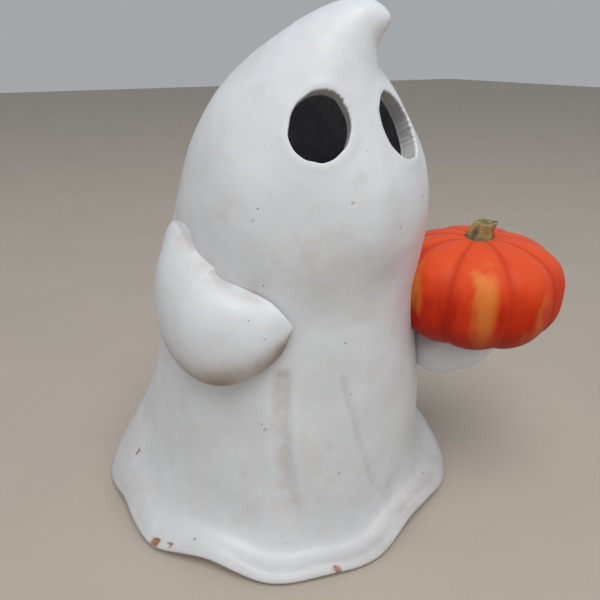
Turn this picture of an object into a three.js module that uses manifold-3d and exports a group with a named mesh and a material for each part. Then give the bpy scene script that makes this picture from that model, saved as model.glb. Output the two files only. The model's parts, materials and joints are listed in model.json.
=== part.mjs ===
// A ceramic sheet-ghost figure with open eyes, carrying a pumpkin on its left arm. A battery light unit
// closes its foot. Millimetres and degrees. The ghost faces -Y, +Z is up and its right side is -X.
import * as THREE from 'three';
import { mergeVertices } from 'three/addons/utils/BufferGeometryUtils.js';
import Module from 'manifold-3d';

const wasm = await Module();
wasm.setup();

// Body: one row per level of the spine, [lean towards the front, height, radius, lean to its left].
const BODY = [
  [0, 0, 80.5, 0], [0, 9, 76.3, 0], [1.5, 19, 70.6, 0], [6, 34, 65, 0], [10.8, 56, 59.8, 0],
  [13.5, 85, 55.3, 0], [16.6, 112, 52.2, 0], [25.8, 138, 47.8, 0], [31.8, 160, 43.2, 0],
  [36.7, 174.7, 34.3, 0.7], [42.6, 188.5, 20.4, 2], [46.6, 195.4, 11.6, 5.2], [50, 199.3, 9, 9.5],
  [55.3, 200.2, 6.2, 14],
];
const WALL = 8;                      // ceramic thickness, square to the spine
const SKIRT_START = 0.03;            // share of the spine at the skirt's first ring
const CROWN_ROUND = 0.84;            // share of the spine after which the crown rounds over
const CROWN_PLAIN = 0.885;           // share after which the relief dies out
const CAVITY_ROUND = 0.75;           // share after which the roof of the hollow rounds over
const CAVITY_TOP = 0.8;              // share of the spine at which the hollow ends
const ROUND_STEPS = [0.3, 0.6, 0.81, 0.93, 0.99];   // of a rounding end, its rings
const BODY_SIDES = 52;
const SKIRT_STEPS = 23;
const CAVITY_SIDES = 32;
const CAVITY_STEPS = 10;

// Hem lobes of the sheet: [azimuth, half width, how far the lobe stands out].
const LOBES = [
  [-106, 15, 4.5], [-68, 13, 4.2], [-28, 15, 5], [-2, 14, 4.9], [45, 17, 5.2], [95, 16, 4.5],
  [143, 17, 4.5], [-158, 17, 4.8],
];
const LOBE_MEAN = 0.5;               // lobe height that leaves the hem on its profile
const LOBE_FULL = 5;                 // lobe height at which the hem comes down to the table
const HEM_BOTTOM = 2;                // height up to which the lobes are whole
const HEM_TOP = 36;                  // height at which they have died out
const HEM_LIFT = 5;                  // rise of the hem's edge between lobes
const HEM_LEAST_LIFT = 0.8;          // rise of that edge under a lobe
const HEM_LIFT_TOP = 26;             // height up to which the skirt is lifted with its edge
const HEM_EDGE = 2;                  // thickness of the edge
const HEM_UNDERCUT = 1.5;            // of the edge below its rim
const FOOT_LIP = 8;                  // how far the hem overhangs the flat foot
const FOLD = { share: 0.3, level: 2, full: 20, fade: 40, to: 100 };   // lobes that run up the skirt

// Relief of the face, by height and by half width in azimuth.
const NOSE = { from: 132, full: 150, fade: 172, to: 186, spread: 9, proud: 1.6 };
const CHEEKS = { height: 143, spread: 55, band: 13, proud: 1.6 };

// Finger grooves down the skirt: [azimuth, height] at the top and at the bottom, how far the middle bows
// aside, half width, depth.
const GROOVES = [
  { top: [-32, 92], foot: [-22.5, 28], bow: -3.2, spread: 2.8, deep: 2 },
  { top: [-8.5, 88], foot: [14, 25], bow: -2.2, spread: 1.6, deep: 0.9 },
];
const GROOVE_RISE = [-0.04, 0.08];   // shares of a groove's length over which it deepens
const GROOVE_FADE = [0.7, 1.1];      // and over which it runs out

// Eye holes, cut by hand: azimuth, height of the spine section that holds the centre, half width and
// half height, and how far the top leans towards the other eye.
const EYES = [
  { azimuth: -33.6, level: 178.2, half: [9.4, 11.3], tilt: 20 },
  { azimuth: 30.2, level: 179.3, half: [9.9, 12.2], tilt: 29 },
];
const EYE_TURN = 19;                 // the holes look outwards
const EYE_RISE = 22;                 // and upwards

// Arms: [azimuth, height, how far the axis lies outside the body's face, half height, half depth].
const RIGHT_ARM = [
  [-116, 126, -8, 11, 8], [-103, 119, -7, 20.5, 10], [-86, 107, -3, 22.5, 12.5], [-64.5, 100, 1, 23, 13.5],
  [-54.5, 101, 4, 20, 12], [-43.5, 103, 2, 15.5, 9.5], [-34.5, 106, -0.3, 9, 6], [-29.5, 106.5, -2, 2.8, 3.5],
];
const LEFT_ARM = [
  [108, 127, -4, 11, 8], [96, 112, 1, 18, 12], [84, 95, 6.5, 19, 14], [70, 79, 11, 17, 15],
];
// The left hand under the pumpkin: [outwards from the fruit's axis, towards the front, below its foot,
// half height, half depth].
const LEFT_HAND = [[-9, 12, 10, 14.5, 14], [0, 3, 8.5, 12, 12], [12, -6, 3.5, 8, 9.5]];
const ARM_END_ROUND = 0.14;          // share of an arm's length that rounds over at each end
const ARM_TIP = 0.004;               // share of it left off at the very ends
const ARM_SIDES = 18;
const ARM_STEPS = 15;
const JOIN_GAP = 0.3;                // between clay pieces luted to each other

const PUMPKIN_RADIUS = 35;
const PUMPKIN_HALF_HEIGHT = 22;
const PUMPKIN_LEVEL = 100.3;
const PUMPKIN_AZIMUTH = 56.3;        // round the body's axis
const PUMPKIN_NEST = 11.4;           // how far its round side would reach into the body
const PUMPKIN_RIBS = 9;
const RIB_SIDES = 5;                 // facets of one rib
const PUMPKIN_STEPS = 11;
const PUMPKIN_POLE = 0.03;           // share of the outline left off at each pole
const RIB_DEPTH = 0.05;              // of the radius
const RIB_START = 23;                // azimuth of a groove
const RIB_FULLNESS = 0.75;           // less is rounder
const PUMPKIN_FULLNESS = [0.73, 0.74];  // of its outline across and upwards, less is squarer
const DIMPLE_DEPTH = 1.5;
const DIMPLE_RADIUS = 9;
const STEM_RADIUS = 4.4;
const STEM_FLARE = 6.8;
const STEM_HEIGHT = 6.5;
const STEM_LEAN = 2;
const STEM_RIBS = 5;
const STEM_RIDGE = 1.1;              // of the radius on a rib
const STEM_HOLLOW = 0.94;            // and between ribs

// Light unit: a round plate that closes the foot, everything else stands on it.
const PLATE_RADIUS = 61;
const PLATE_THICKNESS = 3.5;
const PLATE_RECESS = 2.5;            // of the plate's underside above the table
const PLATE_CLEARANCE = 0.3;
const SEAL_THICKNESS = 1.2;
const SEAL_WIDTH = 3;
const LEDGE = 3.5;                   // of the ceramic over the seal
const CAVITY_RADIUS = PLATE_RADIUS - LEDGE;   // of the hollow just above the plate

const BATTERY_RADIUS = 7.25;         // AA cell
const BATTERY_LENGTH = 50.5;
const BATTERY_NUB = 1;
const BATTERY_NUB_RADIUS = 2.75;
const BATTERY_PITCH = 15.2;
const BATTERY_PLAY = 0.4;
const BATTERY_EDGE = 0.6;
const BAY_PLAY = 0.3;                // lengthways, between a contact and what it touches
const BATTERY_COUNT = 3;
const SPRING_ROOM = 6.2;             // length of a pressed contact spring
const SPRING_RADIUS = 4;
const SPRING_TIP_RADIUS = 2.2;
const SPRING_WIRE = 0.4;             // radius
const SPRING_TURNS = 4;
const SPRING_SEAT_GAP = 0.1;
const CONTACT_THICKNESS = 0.5;
const CONTACT_HEIGHT = 9;
const CONTACT_GAP = 2.8;             // between neighbouring contact plates
const TAB_WIDTH = 3;
const TAB_LENGTH = 3.4;
const TAB_THICKNESS = 0.6;
const TAB_CLEARANCE = 0.3;
const BOX_WALL = 1.8;
const BOX_ROOF = 2.5;
const EAR_LENGTH = 8;
const EAR_WIDTH = 8;
const EAR_THICKNESS = 2;
const EAR_OFFSET = 14;
const PAST = 1;                      // how far a cutting solid reaches past the face it opens

const DOOR_THICKNESS = 2;
const DOOR_LEDGE = 2;                // overlap of the door and the plate round the bay
const DOOR_GAP = 0.3;
const HINGE_RADIUS = 1.2;
const HINGE_LEVEL = 1.4;
const HINGE_SET_BACK = 0.8;          // of the hinge axis behind the door's edge
const HINGE_RELIEF = 2.1;            // free radius round the hinge axis
const HINGE_PIN_RADIUS = 0.7;
const HINGE_PIN_LENGTH = 2;
const LATCH_LENGTH = 8;
const LATCH_WIDTH = 10;
const BOSS_RADIUS = 3.5;
const BOSS_HEIGHT = 4.5;
const COUNTERBORE = 1.2;             // depth of the door screw's seat

const SCREW_HEAD_RADIUS = 2.4;
const SCREW_HEAD_HEIGHT = 1.6;
const SCREW_RADIUS = 1.2;
const SCREW_CLEARANCE = 0.3;
const SCREW_TIP = 0.8;
const SCREW_SLOT = 0.7;
const SCREW_BITE = 2;                // length of a screw in the piece under the one it holds
const BLIND_ROOM = 0.4;              // below a screw's tip
const BOARD_SCREW_BITE = 2.6;
const DOOR_SCREW_BITE = 4.9;

const SWITCH_LENGTH = 22;
const SWITCH_WIDTH = 9;
const SWITCH_HEIGHT = 6.5;
const SWITCH_EAR = 5.5;
const SWITCH_EAR_THICKNESS = 1.5;
const SWITCH_EAR_INSET = 1;
const SWITCH_SPACE = 3;              // between battery box and switch
const KNOB_TRAVEL = 5;
const KNOB_SIZE = 3.6;
const KNOB_DROP = 1.5;               // below the plate, still clear of the table
const SLIDER_LENGTH = 5.2;
const SLIDER_WIDTH = 5;
const SLIDER_HEIGHT = 1.8;
const SLIDE_GAP = 0.35;
const TERMINAL_PITCH = 6;
const TERMINAL_THICKNESS = 0.8;
const TERMINAL_WIDTH = 2.4;
const TERMINAL_HEIGHT = 2.5;

const BOARD_LENGTH = 36;
const BOARD_WIDTH = 18;
const BOARD_THICKNESS = 1.6;
const BOARD_SPACE = 2.4;             // between battery box and board
const BOARD_LIFT = 3;
const BOARD_POST_RADIUS = 3;
const BOARD_POST_OFFSET = 14;
// Parts on the circuit board, by their place from its middle.
const CHIP = { length: 5, width: 4, height: 1.6, x: -5, y: 3 };
const CRYSTAL = { length: 6, radius: 1.5, neck: 1, x: 4, y: 5 };
const RESISTOR = { length: 6, radius: 1.2, neck: 0.75, x: 4, y: 1 };
const LEAD_GAP = 0.1;                // between a lying part and the board

const POST_RADIUS = 5;
const POST_HEIGHT = 34;
const POST_FLANGE_RADIUS = 14;
const POST_FLANGE_THICKNESS = 2;
const POST_SCREW_OFFSET = 10.5;
const POST_FOOT = [1.5, 3];          // taper at the foot of the post, across and upwards
const TABLE_RADIUS = 15;             // round top of the post, under the diffuser
const TABLE_THICKNESS = 2;
const WIRE_SLOT = [5.5, 11, 3.4];    // in that top: from, to and half width
const DIFFUSER_WALL = 1.6;
const LAMP_BOARD_CLEARANCE = 0.9;    // round the lamp's board, inside the diffuser
const LAMP_BOARD_RADIUS = TABLE_RADIUS - DIFFUSER_WALL - LAMP_BOARD_CLEARANCE;
const DIFFUSER_HEIGHT = 24;
const DOME_STEPS = 5;
const LED_RADIUS = 2.5;
const LED_HEIGHT = 8.6;
const LED_RIM = [0.4, 1];            // how far it stands out, and its height
const WIRE_RADIUS = 0.75;
const WIRE_SIDES = 8;
const WIRE_STEPS = 14;
const WIRE_GAP = 0.1;                // between a wire and what it is soldered to
const WIRE_TAB_GAP = 0.3;            // between a wire's end and a contact's tab

const finish = (color, roughness, metalness = 0, opacity = 1) =>
  new THREE.MeshStandardMaterial({ color, roughness, metalness, opacity, transparent: opacity < 1 });
const WHITE_GLAZE = finish(0xdadcdd, 0.42);
const ORANGE_GLAZE = finish(0xc8401c, 0.35);
const STEM_GLAZE = finish(0x635033, 0.5);
const WHITE_PLASTIC = finish(0xe6e5e0, 0.5);
const BLACK_PLASTIC = finish(0x1c1c1e, 0.45);
const RUBBER = finish(0x55565a, 0.85);
const STEEL = finish(0xb9bbbd, 0.3, 1);
const BOARD_GREEN = finish(0x1e6b3a, 0.55);
const CELL_SKIN = finish(0x3f6f8f, 0.35);
const FROSTED = finish(0xf4efe2, 0.6, 0, 0.6);
const CLEAR = finish(0xfff0c8, 0.15, 0, 0.7);
const RED_WIRE = finish(0xb3241f, 0.5);
const BLACK_WIRE = finish(0x222224, 0.5);
const TAN_BODY = finish(0xc9a877, 0.6);

const radians = THREE.MathUtils.degToRad;
const smooth = THREE.MathUtils.smoothstep;
const { sin, cos, min, max, sqrt, abs, sign, exp, floor, PI } = Math;
const bell = (distance, width) => exp(-((distance / width) ** 2));
const turn = (degrees) => THREE.MathUtils.euclideanModulo(degrees + 180, 360) - 180;

// Solids.

function toSolid(geometry) {
  const bare = geometry.clone();
  bare.deleteAttribute('normal');
  bare.deleteAttribute('uv');
  const merged = mergeVertices(bare, 1e-4);
  const vertProperties = new Float32Array(merged.attributes.position.array);
  const triVerts = new Uint32Array(merged.index.array);
  return new wasm.Manifold(new wasm.Mesh({ numProp: 3, vertProperties, triVerts }));
}

function toGeometry(solid) {
  const mesh = solid.getMesh();
  const geometry = new THREE.BufferGeometry();
  geometry.setAttribute('position', new THREE.BufferAttribute(mesh.vertProperties.slice(), 3));
  geometry.setIndex(new THREE.BufferAttribute(mesh.triVerts.slice(), 1));
  return geometry;
}

function cut(base, ...tools) {
  return toGeometry(tools.reduce((left, tool) => left.subtract(toSolid(tool)), toSolid(base)));
}

function join(...pieces) {
  return toGeometry(pieces.slice(1).reduce((left, piece) => left.add(toSolid(piece)), toSolid(pieces[0])));
}

// Closed skin through rings of points, each end closed by a fan; its faces point out.
function skin(rings) {
  const around = rings[0].length;
  const points = rings.flat();
  const middle = (ring) => ring.reduce((sum, p) => sum.add(p), new THREE.Vector3()).divideScalar(around);
  const first = points.push(middle(rings[0])) - 1;
  const last = points.push(middle(rings[rings.length - 1])) - 1;
  const faces = [];
  for (let j = 0; j < around; j++) {
    const next = (j + 1) % around;
    const top = (rings.length - 1) * around;
    faces.push([first, next, j], [last, top + j, top + next]);
    for (let i = 0; i + 1 < rings.length; i++) {
      const low = i * around;
      const high = low + around;
      faces.push([low + j, low + next, high + next], [low + j, high + next, high + j]);
    }
  }
  const volume = faces.reduce((sum, [a, b, c]) =>
    sum + points[a].dot(new THREE.Vector3().crossVectors(points[b], points[c])), 0);
  const outward = volume > 0 ? faces : faces.map(([a, b, c]) => [a, c, b]);
  const geometry = new THREE.BufferGeometry();
  geometry.setAttribute('position', new THREE.Float32BufferAttribute(points.flatMap((p) => p.toArray()), 3));
  geometry.setIndex(outward.flat());
  return geometry;
}

const steps = (count, from = 0, to = 1) =>
  Array.from({ length: count + 1 }, (_, i) => from + ((to - from) * i) / count);
const circle = (count) => Array.from({ length: count }, (_, i) => -180 + (360 * i) / count);

function slab([x0, x1], [y0, y1], [z0, z1]) {
  const box = new THREE.BoxGeometry(x1 - x0, y1 - y0, z1 - z0);
  return box.translate((x0 + x1) / 2, (y0 + y1) / 2, (z0 + z1) / 2);
}

function lathe(profile, sides = 24) {
  return new THREE.LatheGeometry(profile.map(([r, z]) => new THREE.Vector2(r, z)), sides).rotateX(PI / 2);
}

const disc = (radius, z0, z1, sides = 24) => lathe([[0, z0], [radius, z0], [radius, z1], [0, z1]], sides);
const ring = (inner, outer, z0, z1, sides = 48) =>
  lathe([[inner, z0], [outer, z0], [outer, z1], [inner, z1], [inner, z0]], sides);
const at = (geometry, x, y, z = 0) => geometry.translate(x, y, z);

function tube(points, radius, sides, count) {
  const route = new THREE.CatmullRomCurve3(points.map((p) => new THREE.Vector3(...p)));
  const section = new THREE.Shape(circle(sides).map((angle) =>
    new THREE.Vector2(radius * cos(radians(angle)), radius * sin(radians(angle)))));
  return new THREE.ExtrudeGeometry(section, { steps: count, extrudePath: route, bevelEnabled: false });
}

// Uniform cubic B-spline over rows of numbers, straight on at both ends.
function spline(rows, t) {
  const last = rows.length - 1;
  const place = min(max(t, 0), 1) * last;
  const start = min(floor(place), last - 1);
  const u = place - start;
  const beyond = (end, inner) => end.map((value, axis) => 2 * value - inner[axis]);
  const row = (k) => {
    if (k < 0) return beyond(rows[0], rows[1]);
    return k > last ? beyond(rows[last], rows[last - 1]) : rows[k];
  };
  const weights = [(1 - u) ** 3, 3 * u ** 3 - 6 * u * u + 4, 1 + 3 * u + 3 * u * u - 3 * u ** 3, u ** 3];
  return rows[0].map((_, axis) =>
    weights.reduce((sum, weight, k) => sum + (weight * row(start - 1 + k)[axis]) / 6, 0));
}

// Share of the spine at which it has reached a height.
function shareAt(height) {
  let low = 0;
  let high = 1;
  for (let pass = 0; pass < 30; pass++) {
    const half = (low + high) / 2;
    if (spline(BODY, half)[1] < height) low = half;
    else high = half;
  }
  return low;
}

// Body surface.

const lobeAt = (azimuth) =>
  LOBES.reduce((sum, [where, width, proud]) => sum + proud * bell(turn(azimuth - where), width), 0);

const liftAt = (azimuth) => HEM_LIFT * (1 - min(lobeAt(azimuth) / LOBE_FULL, 1)) + HEM_LEAST_LIFT;

function grooveAt(azimuth, height) {
  return GROOVES.reduce((sum, { top, foot, bow, spread, deep }) => {
    const share = (top[1] - height) / (top[1] - foot[1]);
    const line = top[0] + (foot[0] - top[0]) * share + 4 * bow * share * (1 - share);
    const ends = smooth(share, ...GROOVE_RISE) * (1 - smooth(share, ...GROOVE_FADE));
    return sum + deep * ends * bell(turn(azimuth - line), spread);
  }, 0);
}

function relief(azimuth, height) {
  const lobe = lobeAt(azimuth);
  const hem = (lobe - LOBE_MEAN) * (1 - smooth(height, HEM_BOTTOM, HEM_TOP));
  const fold = (lobe - FOLD.level) * FOLD.share
    * (smooth(height, 0, FOLD.full) - smooth(height, FOLD.fade, FOLD.to));
  const nose = NOSE.proud * bell(turn(azimuth), NOSE.spread)
    * (smooth(height, NOSE.from, NOSE.full) - smooth(height, NOSE.fade, NOSE.to));
  const cheeks = CHEEKS.proud * bell(turn(azimuth), CHEEKS.spread)
    * bell(height - CHEEKS.height, CHEEKS.band);
  return hem + fold + nose + cheeks - grooveAt(azimuth, height);
}

// Ring of the body square to its spine; radiusAt gives its radius from the profile's.
function section(share, azimuths, radiusAt) {
  const [lean, height, radius, aside] = spline(BODY, share);
  const ahead = spline(BODY, min(share + 1e-3, 1));
  const behind = spline(BODY, max(share - 1e-3, 0));
  const along = new THREE.Vector3(ahead[3] - behind[3], behind[0] - ahead[0], ahead[1] - behind[1]);
  along.normalize();
  const left = new THREE.Vector3(1, 0, 0).addScaledVector(along, -along.x).normalize();
  const front = new THREE.Vector3().crossVectors(left, along);
  return azimuths.map((azimuth) => {
    const reach = radiusAt(radius, azimuth, height);
    return new THREE.Vector3(aside, -lean, height)
      .addScaledVector(left, reach * sin(radians(azimuth)))
      .addScaledVector(front, reach * cos(radians(azimuth)));
  });
}

const rounding = (share, from, to) => sqrt(max(1 - (max(share - from, 0) / (to - from)) ** 2, 0));

// Shares from one end of a stretch to its rounded tip.
const roundedSteps = (count, from, round, tip) =>
  [...steps(count, from, round), ...ROUND_STEPS.map((step) => round + (tip - round) * step)];

function bodySkin(grow = 0) {
  const azimuths = circle(BODY_SIDES);
  const levels = roundedSteps(SKIRT_STEPS, SKIRT_START, CROWN_ROUND, 1);
  const face = (share) => (radius, azimuth, height) => {
    const shaped = radius + relief(azimuth, height) * (1 - smooth(share, CROWN_PLAIN, 1));
    return (shaped + grow) * rounding(share, CROWN_ROUND, 1);
  };
  const hemRing = (inset, heightAt) => section(0, azimuths, (radius, azimuth) =>
    radius + grow + relief(azimuth, 0) - inset).map((p, i) => p.setZ(heightAt(azimuths[i])));
  const foot = hemRing(FOOT_LIP, () => -grow);
  const underLip = hemRing(HEM_UNDERCUT, (azimuth) => liftAt(azimuth) - grow);
  const rim = hemRing(0, (azimuth) => liftAt(azimuth) + HEM_EDGE);
  const upward = levels.map((share) => section(share, azimuths, face(share)).map((p, i) =>
    p.setZ(p.z + liftAt(azimuths[i]) * (1 - smooth(p.z, 0, HEM_LIFT_TOP)))));
  return skin([foot, underLip, rim, ...upward]);
}

// A point beside the body, level with its axis at that height.
function beside(azimuth, height, out) {
  const [lean, , radius] = spline(BODY, shareAt(height));
  const reach = radius + out;
  return [reach * sin(radians(azimuth)), -(lean + reach * cos(radians(azimuth))), height];
}

// Ceramic pieces.

const LEDGE_LEVEL = PLATE_RECESS + PLATE_THICKNESS + SEAL_THICKNESS;

function cavity() {
  const azimuths = circle(CAVITY_SIDES);
  const hollow = (share) => (radius) =>
    min(CAVITY_RADIUS, radius - WALL) * rounding(share, CAVITY_ROUND, CAVITY_TOP);
  const rings = roundedSteps(CAVITY_STEPS, 0, CAVITY_ROUND, CAVITY_TOP).map((share) =>
    section(share, azimuths, hollow(share)));
  const below = rings[0].map((p) => p.clone().setZ(-PAST));
  return skin([below, ...rings]);
}

function eyeHole({ azimuth, level, half: [halfWidth, halfHeight], tilt }) {
  const side = sign(azimuth);
  const [centre] = section(shareAt(level), [azimuth], (radius, _, height) =>
    radius + relief(azimuth, height));
  const outline = new THREE.Shape().absellipse(0, 0, halfWidth, halfHeight, 0, 2 * PI);
  const depth = 2 * WALL;
  const options = { depth: 2 * depth, bevelEnabled: false, curveSegments: 12 };
  const hole = new THREE.ExtrudeGeometry(outline, options);
  hole.translate(0, 0, -depth).rotateZ(side * radians(tilt)).rotateX(PI / 2 - radians(EYE_RISE));
  return hole.rotateZ(side * radians(EYE_TURN)).translate(centre.x, centre.y, centre.z);
}

function ghostShell() {
  const pocket = disc(PLATE_RADIUS + PLATE_CLEARANCE, -PAST, LEDGE_LEVEL, 48);
  return cut(bodySkin(), cavity(), pocket, ...EYES.map(eyeHole));
}

const grownBody = bodySkin(JOIN_GAP);

// Sleeve along rows of [x, y, z, half height, half depth], its depth facing away from the body's axis.
function sleeve(rows) {
  const rings = steps(ARM_STEPS, ARM_TIP, 1 - ARM_TIP).map((share) => {
    const [x, y, z, high, deep] = spline(rows, share);
    const ahead = new THREE.Vector3(...spline(rows, min(share + 1e-3, 1)).slice(0, 3));
    const behind = new THREE.Vector3(...spline(rows, max(share - 1e-3, 0)).slice(0, 3));
    const along = ahead.sub(behind).normalize();
    const away = new THREE.Vector3(x, y + spline(BODY, shareAt(z))[0], 0).normalize();
    away.addScaledVector(along, -away.dot(along)).normalize();
    const up = new THREE.Vector3().crossVectors(away, along);
    const ends = rounding(share, 1 - ARM_END_ROUND, 1) * rounding(1 - share, 1 - ARM_END_ROUND, 1);
    return circle(ARM_SIDES).map((angle) => new THREE.Vector3(x, y, z)
      .addScaledVector(up, high * ends * sin(radians(angle)))
      .addScaledVector(away, deep * ends * cos(radians(angle))));
  });
  return skin(rings);
}

const pumpkinCentre = beside(PUMPKIN_AZIMUTH, PUMPKIN_LEVEL, PUMPKIN_RADIUS - PUMPKIN_NEST);

function pumpkinSkin(grow = 0) {
  const around = circle(PUMPKIN_RIBS * RIB_SIDES);
  const [fullAcross, fullUp] = PUMPKIN_FULLNESS;
  const rings = steps(PUMPKIN_STEPS, PUMPKIN_POLE, 1 - PUMPKIN_POLE).map((share) => {
    const up = -cos(PI * share);
    const wide = sin(PI * share);
    return around.map((azimuth) => {
      const ridge = abs(sin(radians((azimuth + RIB_START) * PUMPKIN_RIBS / 2))) ** RIB_FULLNESS;
      const ribbed = 1 - RIB_DEPTH * (1 - ridge) * sqrt(wide);
      const radius = PUMPKIN_RADIUS * wide ** fullAcross * ribbed;
      const dimple = DIMPLE_DEPTH * bell(radius, DIMPLE_RADIUS);
      const height = sign(up) * (PUMPKIN_HALF_HEIGHT * abs(up) ** fullUp - dimple) * ribbed;
      const out = radius + grow;
      return new THREE.Vector3(out * sin(radians(azimuth)), -out * cos(radians(azimuth)),
        height + grow * sign(up));
    });
  });
  return skin(rings).translate(...pumpkinCentre);
}

const grownPumpkin = pumpkinSkin(JOIN_GAP);

function pumpkinStem() {
  const dimpleFloor = PUMPKIN_HALF_HEIGHT - DIMPLE_DEPTH;
  const rings = steps(6).map((share) => {
    const radius = STEM_RADIUS + (STEM_FLARE - STEM_RADIUS) * (1 - share) ** 3;
    const lean = STEM_LEAN * share * share;
    return circle(3 * STEM_RIBS).map((azimuth, i) => {
      const reach = radius * (i % 3 === 0 ? STEM_RIDGE : STEM_HOLLOW);
      return new THREE.Vector3(lean + reach * sin(radians(azimuth)),
        -reach * cos(radians(azimuth)) - lean / 2, dimpleFloor + STEM_HEIGHT * share);
    });
  });
  return cut(skin(rings).translate(...pumpkinCentre), grownPumpkin);
}

const sleeveRow = ([azimuth, height, out, high, deep]) => [...beside(azimuth, height, out), high, deep];

function rightArm() {
  return cut(sleeve(RIGHT_ARM.map(sleeveRow)), grownBody);
}

function leftArm() {
  const [x, y, z] = pumpkinCentre;
  const hand = LEFT_HAND.map(([out, front, below, high, deep]) =>
    [x + out, y + front, z - PUMPKIN_HALF_HEIGHT - below, high, deep]);
  return cut(sleeve([...LEFT_ARM.map(sleeveRow), ...hand]), grownBody, grownPumpkin);
}

// Light unit, in its own frame: z = 0 is the underside of the plate.

const TOP = PLATE_THICKNESS;
const BAY_HALF_LENGTH = (BATTERY_LENGTH + SPRING_ROOM + 2 * CONTACT_THICKNESS + BAY_PLAY) / 2;
const BAY_HALF_WIDTH = (BATTERY_PITCH * (BATTERY_COUNT - 1)) / 2 + BATTERY_RADIUS + BATTERY_PLAY;
const BATTERY_LEVEL = DOOR_THICKNESS + BATTERY_PLAY + BATTERY_RADIUS;
const ROOF_LEVEL = BATTERY_LEVEL + BATTERY_RADIUS + BATTERY_PLAY;
const ROOF_TOP = ROOF_LEVEL + BOX_ROOF;
const BOX_HALF_LENGTH = BAY_HALF_LENGTH + BOX_WALL;
const BOX_HALF_WIDTH = BAY_HALF_WIDTH + BOX_WALL;
const EAR_HOLE = BOX_HALF_LENGTH + EAR_LENGTH / 2;
const SCREW_HOLE = SCREW_RADIUS + SCREW_CLEARANCE;

const DOOR_EDGE = BAY_HALF_LENGTH + DOOR_LEDGE - DOOR_GAP;
const DOOR_HALF_WIDTH = BAY_HALF_WIDTH + DOOR_LEDGE - DOOR_GAP;
const HINGE_X = -(DOOR_EDGE + HINGE_SET_BACK);
const LATCH_X = DOOR_EDGE + LATCH_LENGTH / 2;

const SWITCH_Y = -(BOX_HALF_WIDTH + SWITCH_SPACE + SWITCH_WIDTH / 2);
const SWITCH_HOLE = SWITCH_LENGTH / 2 + SWITCH_EAR / 2;
const BOARD_Y = BOX_HALF_WIDTH + BOARD_SPACE + BOARD_WIDTH / 2;
const BOARD_LEVEL = TOP + BOARD_LIFT;
const BOARD_TOP = BOARD_LEVEL + BOARD_THICKNESS;

const FLANGE_TOP = ROOF_TOP + POST_FLANGE_THICKNESS;
const TABLE_LEVEL = ROOF_TOP + POST_HEIGHT;
const LAMP_LEVEL = TABLE_LEVEL + TABLE_THICKNESS;
const LAMP_BOARD_TOP = LAMP_LEVEL + BOARD_THICKNESS;

const both = (half) => [-half, half];
const hole = (x, y, z0, z1, radius = SCREW_HOLE) => at(disc(radius, z0, z1, 12), x, y);
const lengthways = (geometry) => geometry.rotateY(PI / 2);

const boxEars = both(EAR_HOLE).flatMap((x) => both(EAR_OFFSET).map((y) => [x, y]));
const switchHoles = both(SWITCH_HOLE).map((x) => [x, SWITCH_Y]);
const boardHoles = both(BOARD_POST_OFFSET).map((x) => [x, BOARD_Y]);
const postHoles = both(POST_SCREW_OFFSET).map((x) => [x, 0]);

function basePlate() {
  const blank = join(
    disc(PLATE_RADIUS, 0, TOP, 48),
    at(disc(BOSS_RADIUS, TOP, TOP + BOSS_HEIGHT), LATCH_X, 0),
    ...boardHoles.map(([x, y]) => at(disc(BOARD_POST_RADIUS, TOP, BOARD_LEVEL), x, y)),
  );
  const doorSeat = DOOR_THICKNESS + DOOR_GAP;
  const slotHalf = KNOB_TRAVEL / 2 + KNOB_SIZE / 2 + SLIDE_GAP;
  return cut(
    blank,
    slab(both(BAY_HALF_LENGTH), both(BAY_HALF_WIDTH), [-PAST, TOP + PAST]),
    slab(both(DOOR_EDGE + DOOR_GAP), both(DOOR_HALF_WIDTH + DOOR_GAP), [-PAST, doorSeat]),
    slab([HINGE_X - HINGE_RELIEF, HINGE_X + HINGE_RELIEF], both(DOOR_HALF_WIDTH + DOOR_GAP),
      [-PAST, HINGE_LEVEL + HINGE_RADIUS + DOOR_GAP]),
    slab([HINGE_X - HINGE_PIN_RADIUS - DOOR_GAP, HINGE_X + HINGE_PIN_RADIUS + DOOR_GAP],
      both(DOOR_HALF_WIDTH + HINGE_PIN_LENGTH + DOOR_GAP),
      [HINGE_LEVEL - HINGE_PIN_RADIUS - DOOR_GAP, HINGE_LEVEL + HINGE_PIN_RADIUS + DOOR_GAP]),
    slab([0, DOOR_EDGE + LATCH_LENGTH + DOOR_GAP], both(LATCH_WIDTH / 2 + DOOR_GAP), [-PAST, doorSeat]),
    hole(LATCH_X, 0, -PAST, TOP + BOSS_HEIGHT + PAST),
    slab(both(slotHalf), [SWITCH_Y - KNOB_SIZE / 2 - SLIDE_GAP, SWITCH_Y + KNOB_SIZE / 2 + SLIDE_GAP],
      [-PAST, TOP + PAST]),
    ...[...boxEars, ...switchHoles].map(([x, y]) =>
      hole(x, y, TOP - SCREW_BITE - BLIND_ROOM, TOP + PAST)),
    ...boardHoles.map(([x, y]) =>
      hole(x, y, BOARD_LEVEL - BOARD_SCREW_BITE - BLIND_ROOM, BOARD_LEVEL + PAST)),
  );
}

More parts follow.
